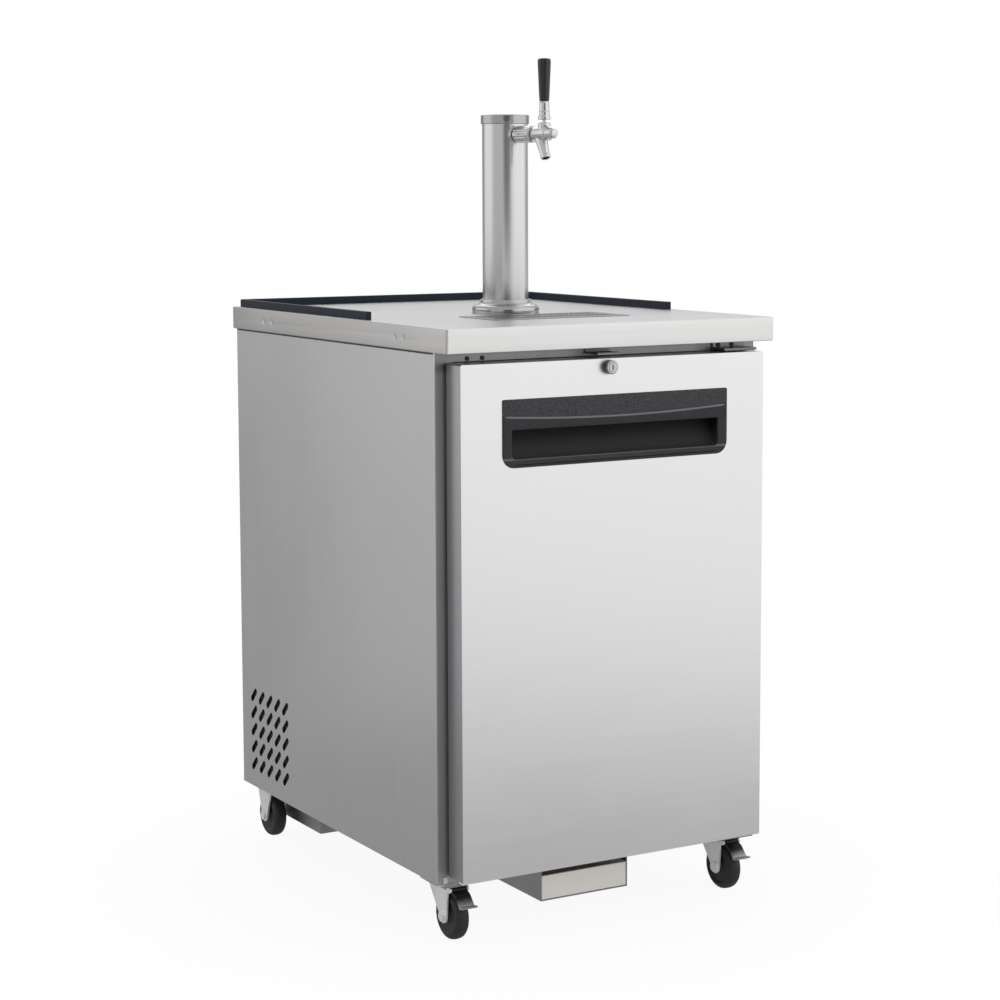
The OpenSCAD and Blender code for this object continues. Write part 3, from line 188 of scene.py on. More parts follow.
steels = dict(
    panelSteel=dict(dark=(0.54, 0.54, 0.54), light=(0.66, 0.66, 0.66),
                    stretch=(900.0, 900.0, 3.0), rough=0.34, depth=0.10),
    # door: the side panels' stainless in a lighter copy, painted light, with its sides that look along x painted
    # darker, painted shade
    doorSteel=dict(dark=(0.85, 0.85, 0.855), light=(0.92, 0.92, 0.92),
                   stretch=(4.0, 4.0, 700.0), rough=0.34, depth=0.03,
                   turned=[("x", (0.45, 0.446, 0.468))]),
    # counter: its sides that look along x and its top painted darker than its front, painted shade
    slabSteel=dict(dark=(0.73, 0.73, 0.725), light=(0.83, 0.83, 0.82),
                   stretch=(4.0, 420.0, 420.0), rough=0.32, depth=0.04,
                   turned=[("x", (0.57, 0.562, 0.548)), ("z", (0.66, 0.66, 0.672))]),
    towerSteel=dict(dark=(0.62, 0.62, 0.62), light=(0.75, 0.75, 0.74),
                    stretch=(700.0, 700.0, 4.0), rough=0.21, depth=0.03),
    footChrome=dict(dark=(0.44, 0.44, 0.445), light=(0.56, 0.56, 0.555),
                    stretch=(160.0, 160.0, 160.0), rough=0.08, depth=0.02),
    tapChrome=dict(dark=(0.64, 0.64, 0.65), light=(0.76, 0.76, 0.76),
                   stretch=(160.0, 160.0, 160.0), rough=0.10, depth=0.02),
    # drip tray and grille: stainless painted far darker than the counter's, painted shade of the tray's recess
    traySteel=dict(dark=(0.27, 0.27, 0.28), light=(0.40, 0.40, 0.41),
                   stretch=(6.0, 500.0, 500.0), rough=0.30, depth=0.05),
    grilleSteel=dict(dark=(0.22, 0.22, 0.23), light=(0.34, 0.34, 0.35),
                     stretch=(6.0, 500.0, 500.0), rough=0.28, depth=0.05),
    zincPlate=dict(dark=(0.88, 0.88, 0.89), light=(0.97, 0.97, 0.97),
                   stretch=(60.0, 60.0, 60.0), rough=0.22, depth=0.03,
                   cloud=0.5, metallic=0.4),
    # door frame: a darker band across the header under the counter, painted shade of the counter's overhang
    frameSteel=dict(dark=(0.43, 0.43, 0.435), light=(0.53, 0.53, 0.53),
                    stretch=(500.0, 500.0, 4.0), rough=0.40, depth=0.05,
                    paintedShadeBands=[(0.876, 0.930, (0.285, 0.285, 0.287))]),
    finMetal=dict(dark=(0.55, 0.55, 0.56), light=(0.70, 0.70, 0.70),
                  stretch=(300.0, 60.0, 60.0), rough=0.38, depth=0.05),
    brassRod=dict(dark=(0.55, 0.38, 0.14), light=(0.72, 0.52, 0.22),
                  stretch=(200.0, 5.0, 200.0), rough=0.25, depth=0.03),
    # tower lid: a darker copy of the tower's metal, painted shade
    lidSteel=dict(dark=(0.42, 0.42, 0.42), light=(0.52, 0.52, 0.515),
                  stretch=(300.0, 300.0, 300.0), rough=0.16, depth=0.04),
    # lock: dark sides and a pale face that looks along y, painted shade and a painted highlight by facing
    lockSteel=dict(dark=(0.05, 0.05, 0.052), light=(0.09, 0.09, 0.09),
                   stretch=(200.0, 200.0, 200.0), rough=0.28, depth=0.03,
                   turned=[("y", (0.60, 0.56, 0.55))]),
    floorSteel=dict(dark=(0.50, 0.50, 0.51), light=(0.64, 0.64, 0.64),
                    stretch=(500.0, 4.0, 500.0), rough=0.36, depth=0.06),
    sleeveSteel=dict(dark=(0.31, 0.31, 0.315), light=(0.39, 0.39, 0.39),
                     stretch=(60.0, 6.0, 300.0), rough=0.40, depth=0.05),
    # lock keeper: toned down to the header's painted shade band so that it blends in, painted shade
    keeperSteel=dict(dark=(0.22, 0.22, 0.222), light=(0.28, 0.28, 0.28),
                     stretch=(80.0, 80.0, 80.0), rough=0.45, depth=0.04),
    hingeSteel=dict(dark=(0.15, 0.147, 0.15), light=(0.25, 0.243, 0.245),
                    stretch=(120.0, 120.0, 120.0), rough=0.26, depth=0.04),
)
looks = {name: steelLook(name, **s) for name, s in steels.items()}


# paint, plastic, rubber and foam: a fine grain over broader patches; cell = grains to the metre
coating = dict(patch=(14.0, 14.0, 14.0), detail=4.0, fineShare=0.6, patchShare=0.4, roughSpread=0.1, height=0.0005)


def paintLook(name, dark, light, rough, cell, depth, metallic=0.0, coat=0.0, shine=0.5):
    s = coating
    look = Look(name, Metallic=metallic, Coat_Weight=coat, Specular_IOR_Level=shine)
    fine = look.grain((cell, cell, cell), detail=s["detail"])
    patch = look.grain(s["patch"])
    look.feed(Base_Color=look.blendColours(fine * s["fineShare"] + patch * s["patchShare"], dark, light),
              Roughness=rough + (fine - 0.5) * s["roughSpread"] + (patch - 0.5) * s["roughSpread"])
    return look.feed(Normal=look.relief(fine, depth, s["height"])).mat


paints = dict(
    railPaint=dict(dark=(0.007, 0.013, 0.022), light=(0.012, 0.021, 0.034),
                   rough=0.50, cell=900.0, depth=0.12, shine=0.25),
    blackPaint=dict(dark=(0.020, 0.021, 0.024), light=(0.036, 0.037, 0.040),
                    rough=0.45, cell=700.0, depth=0.15, metallic=0.2),
    darkSteel=dict(dark=(0.045, 0.046, 0.050), light=(0.085, 0.086, 0.090),
                   rough=0.42, cell=500.0, depth=0.12, metallic=0.5),
    linerWhite=dict(dark=(0.70, 0.70, 0.69), light=(0.80, 0.80, 0.79), rough=0.42, cell=600.0, depth=0.06, coat=0.1),
    bayAluminium=dict(dark=(0.60, 0.60, 0.61), light=(0.74, 0.74, 0.74),
                      rough=0.40, cell=210.0, depth=0.8, metallic=0.85),
    trimGrey=dict(dark=(0.30, 0.30, 0.305), light=(0.37, 0.37, 0.37), rough=0.45, cell=500.0, depth=0.08),
    foamYellow=dict(dark=(0.62, 0.50, 0.25), light=(0.78, 0.66, 0.38), rough=0.9, cell=260.0, depth=0.5),
    coreBoard=dict(dark=(0.22, 0.215, 0.205), light=(0.30, 0.295, 0.28), rough=0.8, cell=120.0, depth=0.3),
    creamPlastic=dict(dark=(0.92, 0.88, 0.82), light=(0.95, 0.915, 0.86), rough=0.50, cell=800.0, depth=0.10),
    bushNylon=dict(dark=(0.60, 0.58, 0.52), light=(0.70, 0.68, 0.62), rough=0.45, cell=500.0, depth=0.08),
    tyreRubber=dict(dark=(0.012, 0.012, 0.012), light=(0.026, 0.026, 0.026), rough=0.55, cell=900.0, depth=0.25),
    sealRubber=dict(dark=(0.040, 0.040, 0.042), light=(0.065, 0.065, 0.068), rough=0.60, cell=800.0, depth=0.20),
    knobBlack=dict(dark=(0.008, 0.008, 0.009), light=(0.014, 0.014, 0.015),
                   rough=0.26, cell=350.0, depth=0.04, coat=0.15),
    # handle's ridge bead: a paler plastic than the handle, a painted highlight
    ridgeHighlightPlastic=dict(dark=(0.12, 0.123, 0.13), light=(0.17, 0.174, 0.18), rough=0.34, cell=600.0, depth=0.06),
    screenFelt=dict(dark=(0.050, 0.050, 0.051), light=(0.085, 0.085, 0.086), rough=0.9, cell=400.0, depth=0.4),
    motorBlack=dict(dark=(0.012, 0.012, 0.013), light=(0.028, 0.028, 0.030),
                    rough=0.38, cell=300.0, depth=0.10, coat=0.1),
)
looks.update({name: paintLook(name, **s) for name, s in paints.items()})


# zinc-dipped sheet: crystals of a few shades, each a little more or less glossy
zincDip = dict(dark=(0.48, 0.48, 0.492), light=(0.59, 0.59, 0.59), rough=0.42, cells=110.0, warp=(60.0, 60.0, 60.0),
               bend=0.003, patch=(4.0, 4.0, 4.0), crystalShare=0.7, patchShare=0.3, roughCrystal=0.16, roughPatch=0.1,
               depth=0.05, height=0.0004)


def spangleLook(name, s):
    look = Look(name, Metallic=1.0)
    warp = look.grain(s["warp"], detail=2.0)
    bent = look.node("ShaderNodeVectorMath", dict(operation="ADD"), {0: look.place, 1: warp * s["bend"]})[0]
    crystal = look.node("ShaderNodeTexVoronoi", dict(feature="F1"), dict(Vector=bent, Scale=s["cells"]), out=["Color"])
    tone = look.split(crystal[0])[0]
    patch = look.grain(s["patch"])
    look.feed(Base_Color=look.blendColours(tone * s["crystalShare"] + patch * s["patchShare"], s["dark"], s["light"]),
              Roughness=s["rough"] + (tone - 0.5) * s["roughCrystal"] + (patch - 0.5) * s["roughPatch"])
    return look.feed(Normal=look.relief(tone, s["depth"], s["height"])).mat


# door handle: pebble grain above the bowed ridge, smooth below it, painted shade where the pocket is deep and at its
# top, a painted highlight along the lower lip; places in metres
handleFinish = dict(dark=(0.026, 0.027, 0.031), light=(0.064, 0.066, 0.072), rough=0.50, shine=0.28,
                    cell=300.0, groove=0.25, depth=0.7, height=0.0004, ridgeZ=0.8066, ridgeBow=0.1725, ridgeEase=0.003,
                    patch=(30.0, 30.0, 30.0), patchShare=0.7, pebbleShare=1.4, pebbleDrop=0.16, toneDrop=0.34,
                    # the lower lip's paler colour is a painted highlight; the scoop and pocket colours are painted
                    # shade
                    lipZ=0.7492, lipReach=5e-6, paintedLipHighlight=(0.12, 0.12, 0.125),
                    scoop=(0.036, 0.0325, 0.031), pocket=(0.001, 0.001, 0.001), pocketZ=(0.748, 0.788),
                    pocketY=(-0.3905, -0.384), roughPatch=0.12, roughDeep=0.15)


def handleLook(name, s):
    look = Look(name, Specular_IOR_Level=s["shine"])
    x, y, z = look.split(look.place)
    pebble = look.node("ShaderNodeTexVoronoi", dict(feature="DISTANCE_TO_EDGE"),
                       dict(Vector=look.place, Scale=s["cell"]))[0]
    raised = look.ramp(pebble, 0.0, s["groove"])
    above = look.ramp(z - x ** 2.0 * s["ridgeBow"], s["ridgeZ"], s["ridgeZ"] + s["ridgeEase"])
    patch = look.grain(s["patch"])
    tone = patch * s["patchShare"] + (raised * s["pebbleShare"] - s["pebbleDrop"]) * above - s["toneDrop"]
    # painted highlight along the lower lip
    lipHighlightMask = 1.0 - look.ramp((z - s["lipZ"]) ** 2.0, 0.0, s["lipReach"])
    face = look.blendColours(lipHighlightMask, look.blendColours(tone, s["dark"], s["light"]), s["paintedLipHighlight"])
    # painted shade in the pocket: near black at its top and paler on the scoop below
    paintedPocketShade = look.blendColours(look.ramp(z, *s["pocketZ"]), s["scoop"], s["pocket"])
    pocketShadeMask = look.ramp(y, *s["pocketY"])
    look.feed(Base_Color=look.blendColours(pocketShadeMask, face, paintedPocketShade),
              Roughness=s["rough"] + (patch - 0.5) * s["roughPatch"] + pocketShadeMask * s["roughDeep"])
    return look.feed(Normal=look.relief(raised * above, s["depth"], s["height"])).mat


# brake pedal: a pale tread, painted light, that turns along y into a dark arm, painted shade, with a ragged edge
# between, in metres
pedalFinish = dict(arm=(0.030, 0.030, 0.032), tread=(0.42, 0.42, 0.43), turn=(-0.366, -0.354), rough=0.36,
                   metallic=0.8, wearAndShadeEdge=(150.0, 150.0, 150.0), ragged=0.004, roughWear=0.2, depth=0.12, height=0.0004)


def pedalLook(name, s):
    look = Look(name, Metallic=s["metallic"])
    y = look.split(look.place)[1]
    wearAndShadeEdge = look.grain(s["wearAndShadeEdge"])
    # painted light on the tread and painted shade on the arm, split along y
    armShadeMask = look.ramp(y + (wearAndShadeEdge - 0.5) * s["ragged"], *s["turn"])
    look.feed(Base_Color=look.blendColours(armShadeMask, s["tread"], s["arm"]),
              Roughness=s["rough"] + (wearAndShadeEdge - 0.5) * s["roughWear"])
    return look.feed(Normal=look.relief(wearAndShadeEdge, s["depth"], s["height"])).mat


looks.update(baseZinc=spangleLook("baseZinc", zincDip), handleGrain=handleLook("handleGrain", handleFinish),
             pedalSteel=pedalLook("pedalSteel", pedalFinish))
print("looks made:", len(looks))


# which look each CAD node wears where its own solid shows
nodeLooks = dict(
    panelSteel="side_panel_left side_panel_right",
    doorSteel="door_skin",
    slabSteel="counter_top",
    foamYellow="side_foam inner_foam door_foam",
    coreBoard="counter_core",
    railPaint="guard_rail",
    traySteel="drip_tray",
    grilleSteel="drip_grille",
    baseZinc="back_panel base_pan",
    blackPaint="rear_grille cabinet_screws",
    hingeSteel="hinge_brackets",
    frameSteel="front_frame",
    bayAluminium="liner",
    floorSteel="keg_floor",
    darkSteel="machine_pan pan_sleeve left_brake_pedal right_brake_pedal condenser",
    keeperSteel="lock_keeper",
    creamPlastic="condensate_pan",
    linerWhite="door_liner evaporator_cover",
    sealRubber="door_gasket",
    handleGrain="door_handle",
    bushNylon="door_bushes",
    tapChrome="lock_body lock_plug tower_flange tower_cap shank coupling_nut faucet_body faucet_collar tap_lever "
              "riser_tube",
    towerSteel="tower_tube",
    brassRod="faucet_shaft",
    knobBlack="tap_handle thermostat_knob power_inlet gas_port_bush evaporator_fan",
    finMetal="evaporator_coil condenser_fan",
    motorBlack="compressor fan_motors",
    zincPlate="caster_bolts rear_forks front_left_fork front_right_fork",
    tyreRubber="front_left_wheel front_right_wheel rear_left_wheel rear_right_wheel",
)
for lookName, names in nodeLooks.items():
    for nodeName in names.split():
        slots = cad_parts[nodeName].data.materials
        slots.clear()
        slots.append(looks[lookName])
print("looks on nodes")


# surfaces: points on a grid of two parameters, in millimetres, that become quads
def sheet(points, wrapRows=False, wrapCols=False, capEnds=False):
    rows, cols = points.shape[:2]
    r = np.arange(rows - (not wrapRows))[:, None]
    c = np.arange(cols - (not wrapCols))[None, :]
    below, beside = (r + 1) % rows, (c + 1) % cols
    corners = np.broadcast_arrays(r * cols + c, r * cols + beside, below * cols + beside, below * cols + c)
    faces = np.stack(corners, -1).reshape(-1, 4).tolist()
    if capEnds:
        faces += [list(range(cols))[::-1], list(range((rows - 1) * cols, rows * cols))]
    return points.reshape(-1, 3), faces


# a line whose inner corners are rounded: each becomes a parabola between points set back along its legs,
# never past share of a leg
def softLine(corners, radius, steps=6, closed=False, share=0.49):
    p = np.array(corners, float)
    if closed:
        p = np.concatenate([p[-1:], p, p[:1]])
    before, here, after = p[:-2], p[1:-1], p[2:]
    reach = np.broadcast_to(np.asarray(radius, float), (len(here),))[:, None]

    def setBack(leg):
        size = np.maximum(np.linalg.norm(leg, axis=1, keepdims=True), 1e-9)
        return leg / size * np.minimum(reach, share * size)

    a, b = here + setBack(before - here), here + setBack(after - here)
    t = np.linspace(0.0, 1.0, steps)[None, :, None]
    arcs = (1 - t) ** 2 * a[:, None] + 2 * t * (1 - t) * here[:, None] + t ** 2 * b[:, None]
    arcs = arcs.reshape(-1, p.shape[1])
    return arcs if closed else np.concatenate([p[:1], arcs, p[-1:]])


# closed rectangle loop: quarter circles, a radius for each corner (low left, low right, high right, high left),
# joined by straight lines and never past share of the shorter side
def frameLoop(x0, x1, z0, z1, radii, steps=7, share=0.49):
    r = np.minimum(np.broadcast_to(np.asarray(radii, float), (4,)), share * min(x1 - x0, z1 - z0))[:, None]
    turn = np.radians(np.array([180.0, 270.0, 0.0, 90.0])[:, None] + np.linspace(0.0, 90.0, steps)[None, :])
    midX = np.array([x0, x1, x1, x0])[:, None] + r * np.array([1, -1, -1, 1])[:, None]
    midZ = np.array([z0, z0, z1, z1])[:, None] + r * np.array([1, 1, -1, -1])[:, None]
    return np.stack([midX + r * np.cos(turn), midZ + r * np.sin(turn)], -1).reshape(-1, 2)


# loops in a plane carried to their own heights: flat says which axis the height runs along
def stackLoops(loops, heights, flat):
    flatLoops = np.stack(loops)
    level = np.broadcast_to(np.asarray(heights, float)[:, None], flatLoops.shape[:2])
    order = dict(z=(flatLoops[..., 0], flatLoops[..., 1], level), y=(flatLoops[..., 0], level, flatLoops[..., 1]))
    return np.stack(order[flat], -1)


# surface of revolution: profile of radius and distance along the axis, turned through the full circle;
# ripple multiplies the radius by a function of the angle
def spin(profile, axis, centre, segments, ripple=None):
    p = np.asarray(profile, float)
    turn = np.linspace(0.0, 2 * np.pi, segments, endpoint=False)[None, :]
    radius = p[:, :1] * (1.0 if ripple is None else ripple(turn, p[:, 1:]))
    a, b = radius * np.cos(turn), radius * np.sin(turn)
    along = np.broadcast_to(p[:, 1:], a.shape)
    order = dict(x=(along, a, b), y=(a, along, b), z=(a, b, along))
    return np.stack(order[axis], -1) + np.asarray(centre, float)


# smooth shading up to the sharp angle, the look, and what the piece rides on and stands for
def finishPiece(name, mesh, look, body, stands, sharp):
    if "custom_normal" in mesh.attributes:
        mesh.attributes.remove(mesh.attributes["custom_normal"])
    mesh.shade_smooth()
    mesh.set_sharp_from_angle(angle=math.radians(sharp))
    mesh.materials.clear()
    mesh.materials.append(looks[look])
    piece = bpy.data.objects.new(name, mesh)
    bpy.context.scene.collection.objects.link(piece)
    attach(piece, body)
    if stands:
        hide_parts(*stands)
    return piece


# welding, in metres: points nearer than merge become one, and edges shorter than sliver go
weld = dict(millimetre=0.001, merge=2e-6, sliver=1e-6)


# a piece from one or more sheets; stands names the CAD nodes it takes the place of
def addPiece(name, sheets, look, body, stands=(), sharp=34.0):
    starts = np.cumsum([0] + [len(points) for points, faces in sheets])
    points = np.concatenate([points for points, faces in sheets]) * weld["millimetre"]
    faces = [[i + start for i in face] for (p, faces), start in zip(sheets, starts) for face in faces]
    mesh = bpy.data.meshes.new(name)
    mesh.from_pydata(points.tolist(), [], faces)
    work = bmesh.new()
    work.from_mesh(mesh)
    bmesh.ops.remove_doubles(work, verts=work.verts, dist=weld["merge"])
    bmesh.ops.dissolve_degenerate(work, edges=work.edges, dist=weld["sliver"])
    bmesh.ops.recalc_face_normals(work, faces=work.faces)
    work.to_mesh(mesh)
    work.free()
    finishPiece(name, mesh, look, body, stands, sharp)


# a turned piece: its profile is a closed ring, or else starts and ends on the axis
def addTurned(name, profile, axis, centre, segments, look, body, slot, node, ring=False, ripple=None):
    points = spin(profile, axis, centre, segments, ripple)
    addPiece(name, [sheet(points, wrapRows=ring, wrapCols=True)], look, body, [node])


# counter skin: one closed wall from the folded edge below, round the rim, over the top and into the tray's opening
slab = dict(x=298.5, y0=-387.5, y1=401.5, z0=911.0, z1=949.0, corner=4.0, leastCorner=0.4, wall=1.5, fold=14.0,
            ease=2.0, topEdge=9.0, tray=(-121.2, 121.2, -226.2, -117.8), trayCorner=5.7,
            dents=(-250.0, -222.0, 235.0, 266.0), dentZ=929.0, dentReach=6.0, dentDepth=0.9, dentLines=11)


def makeSlab(s):
    across = np.linspace(-s["dentReach"], s["dentReach"], s["dentLines"])
    sideY = np.add.outer(s["dents"], across).ravel()  # extra grid lines where the dents are
    z0, z1, wall, fold = s["z0"], s["z1"], s["wall"], s["fold"]

    def withSides(loop, y):
        x0, x1, half = loop[:, 0].min(), loop[:, 0].max(), len(loop) // 2
        right, left = np.stack([np.full_like(y, x1), y], -1), np.stack([np.full_like(y, x0), y[::-1]], -1)
        return np.concatenate([loop[:half], right, loop[half:], left])

    def ring(i):
        corner = max(s["corner"] - i, s["leastCorner"])
        return withSides(frameLoop(i - s["x"], s["x"] - i, s["y0"] + i, s["y1"] - i, corner), sideY)

    rim = softLine([(fold, z0), (0.0, z0), (0.0, z1), (s["topEdge"], z1)], s["ease"])
    dentRows = np.stack([np.zeros_like(across), s["dentZ"] + across], -1)
    rim = np.insert(rim, np.argmax(rim[:, 1] > s["dentZ"]), dentRows, axis=0)
    lining = np.array([(wall, z1 - wall), (wall, z0 + wall), (fold, z0 + wall)])
    mouthEnds = (s["tray"][2] + s["trayCorner"], s["tray"][3] - s["trayCorner"])
    mouth = withSides(frameLoop(*s["tray"], s["trayCorner"]), np.interp(sideY, (s["y0"], s["y1"]), mouthEnds))
    loops = [ring(i) for i in rim[:, 0]] + [mouth, mouth] + [ring(i) for i in lining[:, 0]]
    levels = [*rim[:, 1], z1, z1 - wall, *lining[:, 1]]
    points = stackLoops(loops, levels, "z")

    # dents: the wall goes in by an eased bowl round each place
    away = np.hypot(points[..., 1:2] - s["dents"], points[..., 2:] - s["dentZ"]).min(axis=-1)
    bowl = np.clip(1.0 - away / s["dentReach"], 0.0, 1.0)
    onWall = np.isclose(np.abs(points[..., 0]), s["x"])
    points[..., 0] -= np.sign(points[..., 0]) * onWall * s["dentDepth"] * bowl ** 2 * (3.0 - 2.0 * bowl)
    skin = sheet(points, wrapRows=True, wrapCols=True)
    addPiece("counterSkin", [skin], "slabSteel", "cabinet", ["counter_top"])


makeSlab(slab)


# rail: a rounded bar section carried along three sides of the counter, offset in or out from its middle line
rail = dict(x=285.0, front=-107.5, back=388.0, z0=949.0, z1=962.0, half=4.5, ease=1.6, footEase=0.2, bend=4.0,
            leastBend=0.3, bendSteps=7)


def makeRail(s):
    section = softLine([(-s["half"], s["z0"]), (s["half"], s["z0"]), (s["half"], s["z1"]), (-s["half"], s["z1"])],
                       [s["footEase"], s["footEase"], s["ease"], s["ease"]], closed=True)
    out, level = section[:, :1], section[:, 1:]
    bend = np.maximum(s["bend"] + out, s["leastBend"])
    turn = np.linspace(0.0, np.pi / 2, s["bendSteps"])[None, :]
    cornerX, cornerY = s["x"] + out - bend * (1 - np.sin(turn)), s["back"] + out - bend * (1 - np.cos(turn))
    endX, endY = s["x"] + out, np.full_like(out, s["front"])
    x = np.concatenate([-endX, -cornerX[:, ::-1], cornerX, endX], axis=1)
    y = np.concatenate([endY, cornerY[:, ::-1], cornerY, endY], axis=1)
    bar = sheet(np.stack([x, y, np.broadcast_to(level, x.shape)], -1).transpose(1, 0, 2), wrapCols=True, capEnds=True)
    addPiece("guardBar", [bar], "railPaint", "cabinet", ["guard_rail"])


makeRail(rail)
print("counter made")


# handle: loops from the flange's edge over the face to the mouth, then a pocket whose floor is a quarter
# ellipse and whose roof climbs behind the grip
handle = dict(x=205.0, z0=736.0, z1=840.0, seat=-389.5, face=-391.5, seatEdge=7.0, faceEdge=5.0, seatEase=0.2,
              ease=1.3, low=20.0, high=2.5, leastHigh=0.6, mouth=(-188.0, 188.0, 749.0, 793.0), mouthLow=7.0,
              mouthHigh=1.6, dish=1.3, dishReach=9.0, dishEnd=0.4, lip=2.0, lipDepth=4.0, depth=23.0, scoop=38.0,
              climb=22.0, taper=2.0, pocketCorner=3.0, steps=18)


def makeHandle(s):
    seat, face = s["seat"], s["face"]
    throat = face + s["lipDepth"]
    edge = softLine([(s["seatEdge"], seat), (0.0, seat), (0.0, face), (s["faceEdge"], face)],
                    [s["seatEase"], s["ease"]])
    lip = softLine([(s["dishReach"], face), (s["dishEnd"], face + s["dish"]), (0.0, throat)], s["lip"])
    x0, x1, z0, z1 = s["mouth"]

    def outer(i):
        low, high = s["low"] - i, max(s["high"] - i, s["leastHigh"])
        return frameLoop(i - s["x"], s["x"] - i, s["z0"] + i, s["z1"] - i, [low, low, high, high])

    def inner(g):
        low, high = s["mouthLow"] + g, s["mouthHigh"] + g
        return frameLoop(x0 - g, x1 + g, z0 - g, z1 + g, [low, low, high, high])

    t = np.linspace(0.0, 1.0, s["steps"])[1:]
    floor = z0 + s["scoop"] * (1 - np.sqrt(1 - t ** 2))
    roof = z1 + s["climb"] * np.sin(t * np.pi / 2)
    sides = s["taper"] * t
    pocket = [frameLoop(x0 + d, x1 - d, a, b, s["pocketCorner"]) for d, a, b in zip(sides, floor, roof)]
    loops = [outer(i) for i in edge[:, 0]] + [inner(g) for g in lip[:, 0]] + pocket
    levels = [*edge[:, 1], *lip[:, 1], *(throat + t * s["depth"])]
    points = stackLoops(loops, levels, "y")
    shell, faces = sheet(points, wrapCols=True)
    faces.append(list(range(shell.shape[0] - points.shape[1], shell.shape[0])))  # the pocket's back
    addPiece("handleShell", [(shell, faces)], "handleGrain", "door", ["door_handle"])


# beads across a face: a flattened ellipse carried along a parabola that is lowest in the middle, with ends that taper
# into the face
beadShape = dict(steps=61, sides=16, overrun=1.0025, taper=0.015, endWidth=0.35)
handleBead = dict(way="front", run=(-200.0, 200.0), z=806.6, bow=6.9, width=3.4, proud=1.0, face=-391.5)
# a dark rubber bead along the header's foot, where there is only the shadow line above the door: painted shade
headerShadeLine = dict(way="front", run=(-268.0, 232.0), z=893.0, bow=0.0, width=6.6, proud=2.2, face=-340.0)
# dark beads under the counter's sides, where there is only the shadow line below the counter: painted shade
slabShadeLine = dict(run=(-336.0, 394.0), z=909.3, bow=0.0, width=3.0, proud=1.1, face=-293.0)


def makeBead(name, s, look, body):
    e = beadShape
    u = np.linspace(-1.0, 1.0, e["steps"])[:, None]
    along = 0.5 * (s["run"][0] + s["run"][1]) + 0.5 * (s["run"][1] - s["run"][0]) * u
    turn = np.linspace(0.0, 2 * np.pi, e["sides"], endpoint=False)[None, :]
    fade = np.sqrt(np.clip((e["overrun"] - np.abs(u)) / e["taper"], 0.0, 1.0))
    swell = e["endWidth"] + (1.0 - e["endWidth"]) * fade
    z = s["z"] + s["bow"] * u ** 2 + 0.5 * s["width"] * np.cos(turn) * swell
    out = s["face"] - s["proud"] * np.sin(turn) * fade
    along = np.broadcast_to(along, z.shape)
    order = dict(front=(along, out, z), left=(out, along, z), right=(-out, along, z))
    bead = sheet(np.stack(order[s["way"]], -1), wrapCols=True, capEnds=True)
    addPiece(name, [bead], look, body, sharp=60.0)


makeHandle(handle)
makeBead("handleBead", handleBead, "ridgeHighlightPlastic", "door")
makeBead("headerShadeLine", headerShadeLine, "sealRubber", "cabinet")
for side in ("left", "right"):
    makeBead(side + "SlabShadeLine", dict(slabShadeLine, way=side), "sealRubber", "cabinet")


# door seal: a bellows section of (inset, depth) carried round the door as loops of growing inset
seal = dict(x=276.3, z0=106.0, z1=895.0, corner=4.0, ease=0.9,
            section=[(14.5, -345.5), (14.5, -343.9), (13.0, -343.1), (13.0, -340.3), (20.5, -340.3), (21.0, -341.9),
                     (22.6, -341.9), (25.0, -343.3), (25.0, -345.5)])


def makeSeal(s):
    section = softLine(s["section"], s["ease"], closed=True)
    loops = [frameLoop(i - s["x"], s["x"] - i, s["z0"] + i, s["z1"] - i, s["corner"]) for i in section[:, 0]]
    bellows = sheet(stackLoops(loops, section[:, 1], "y"), wrapRows=True, wrapCols=True)
    addPiece("sealBellows", [bellows], "sealRubber", "door", ["door_gasket"], sharp=50.0)


# door's inner sheet: loops of (inset, depth) step from its edge over a raised frame to the middle, and their corners
# grow inwards
innerSheet = dict(x=276.3, z0=106.0, z1=895.0, corner=2.0, cornerGrowth=0.35, mostCorner=18.0,
                  section=[(1.5, -346.7), (1.5, -345.5), (34.0, -345.5), (40.0, -343.2), (74.0, -343.2), (80.0, -345.1),
                           (110.0, -345.1)], eases=[0.3, 3.0, 3.0, 3.0, 3.0])


def makeInnerSheet(s):
    step = softLine(s["section"], s["eases"])
    corners = np.minimum(s["corner"] + s["cornerGrowth"] * step[:, 0], s["mostCorner"])
    loops = [frameLoop(i - s["x"], s["x"] - i, s["z0"] + i, s["z1"] - i, r) for i, r in zip(step[:, 0], corners)]
    panel = sheet(stackLoops(loops, step[:, 1], "y"), wrapCols=True, capEnds=True)
    addPiece("doorInner", [panel], "linerWhite", "door", ["door_liner"], sharp=50.0)


# trim round the bay's mouth: a thin angle carried round the opening; its section is (inset at the sides, inset below,
# depth)
mouthTrim = dict(x=249.0, z0=140.0, z1=866.0, corner=2.0, ease=0.4,
                 section=[(0.3, 0.3, -339.4), (0.3, 0.3, -328.4), (2.1, 5.3, -328.4), (2.1, 5.3, -329.6),
                          (1.4, 1.4, -330.4), (1.4, 1.4, -339.4)])


def makeTrim(s):
    path = softLine(s["section"], s["ease"], closed=True)
    loops = [frameLoop(side - s["x"], s["x"] - side, s["z0"] + low, s["z1"] - side, s["corner"])
             for side, low, y in path]
    angle = sheet(stackLoops(loops, path[:, 2], "y"), wrapRows=True, wrapCols=True)
    addPiece("mouthTrim", [angle], "trimGrey", "cabinet", sharp=50.0)


# nylon buffer on the frame's foot beside the door: loops step out from its seat and turn in over its face
buffer = dict(x=(-284.2, -277.6), z=(97.0, 106.4), seat=-340.0, face=-343.4, faceEdge=2.4, corner=1.4, leastCorner=0.2,
              ease=0.9)


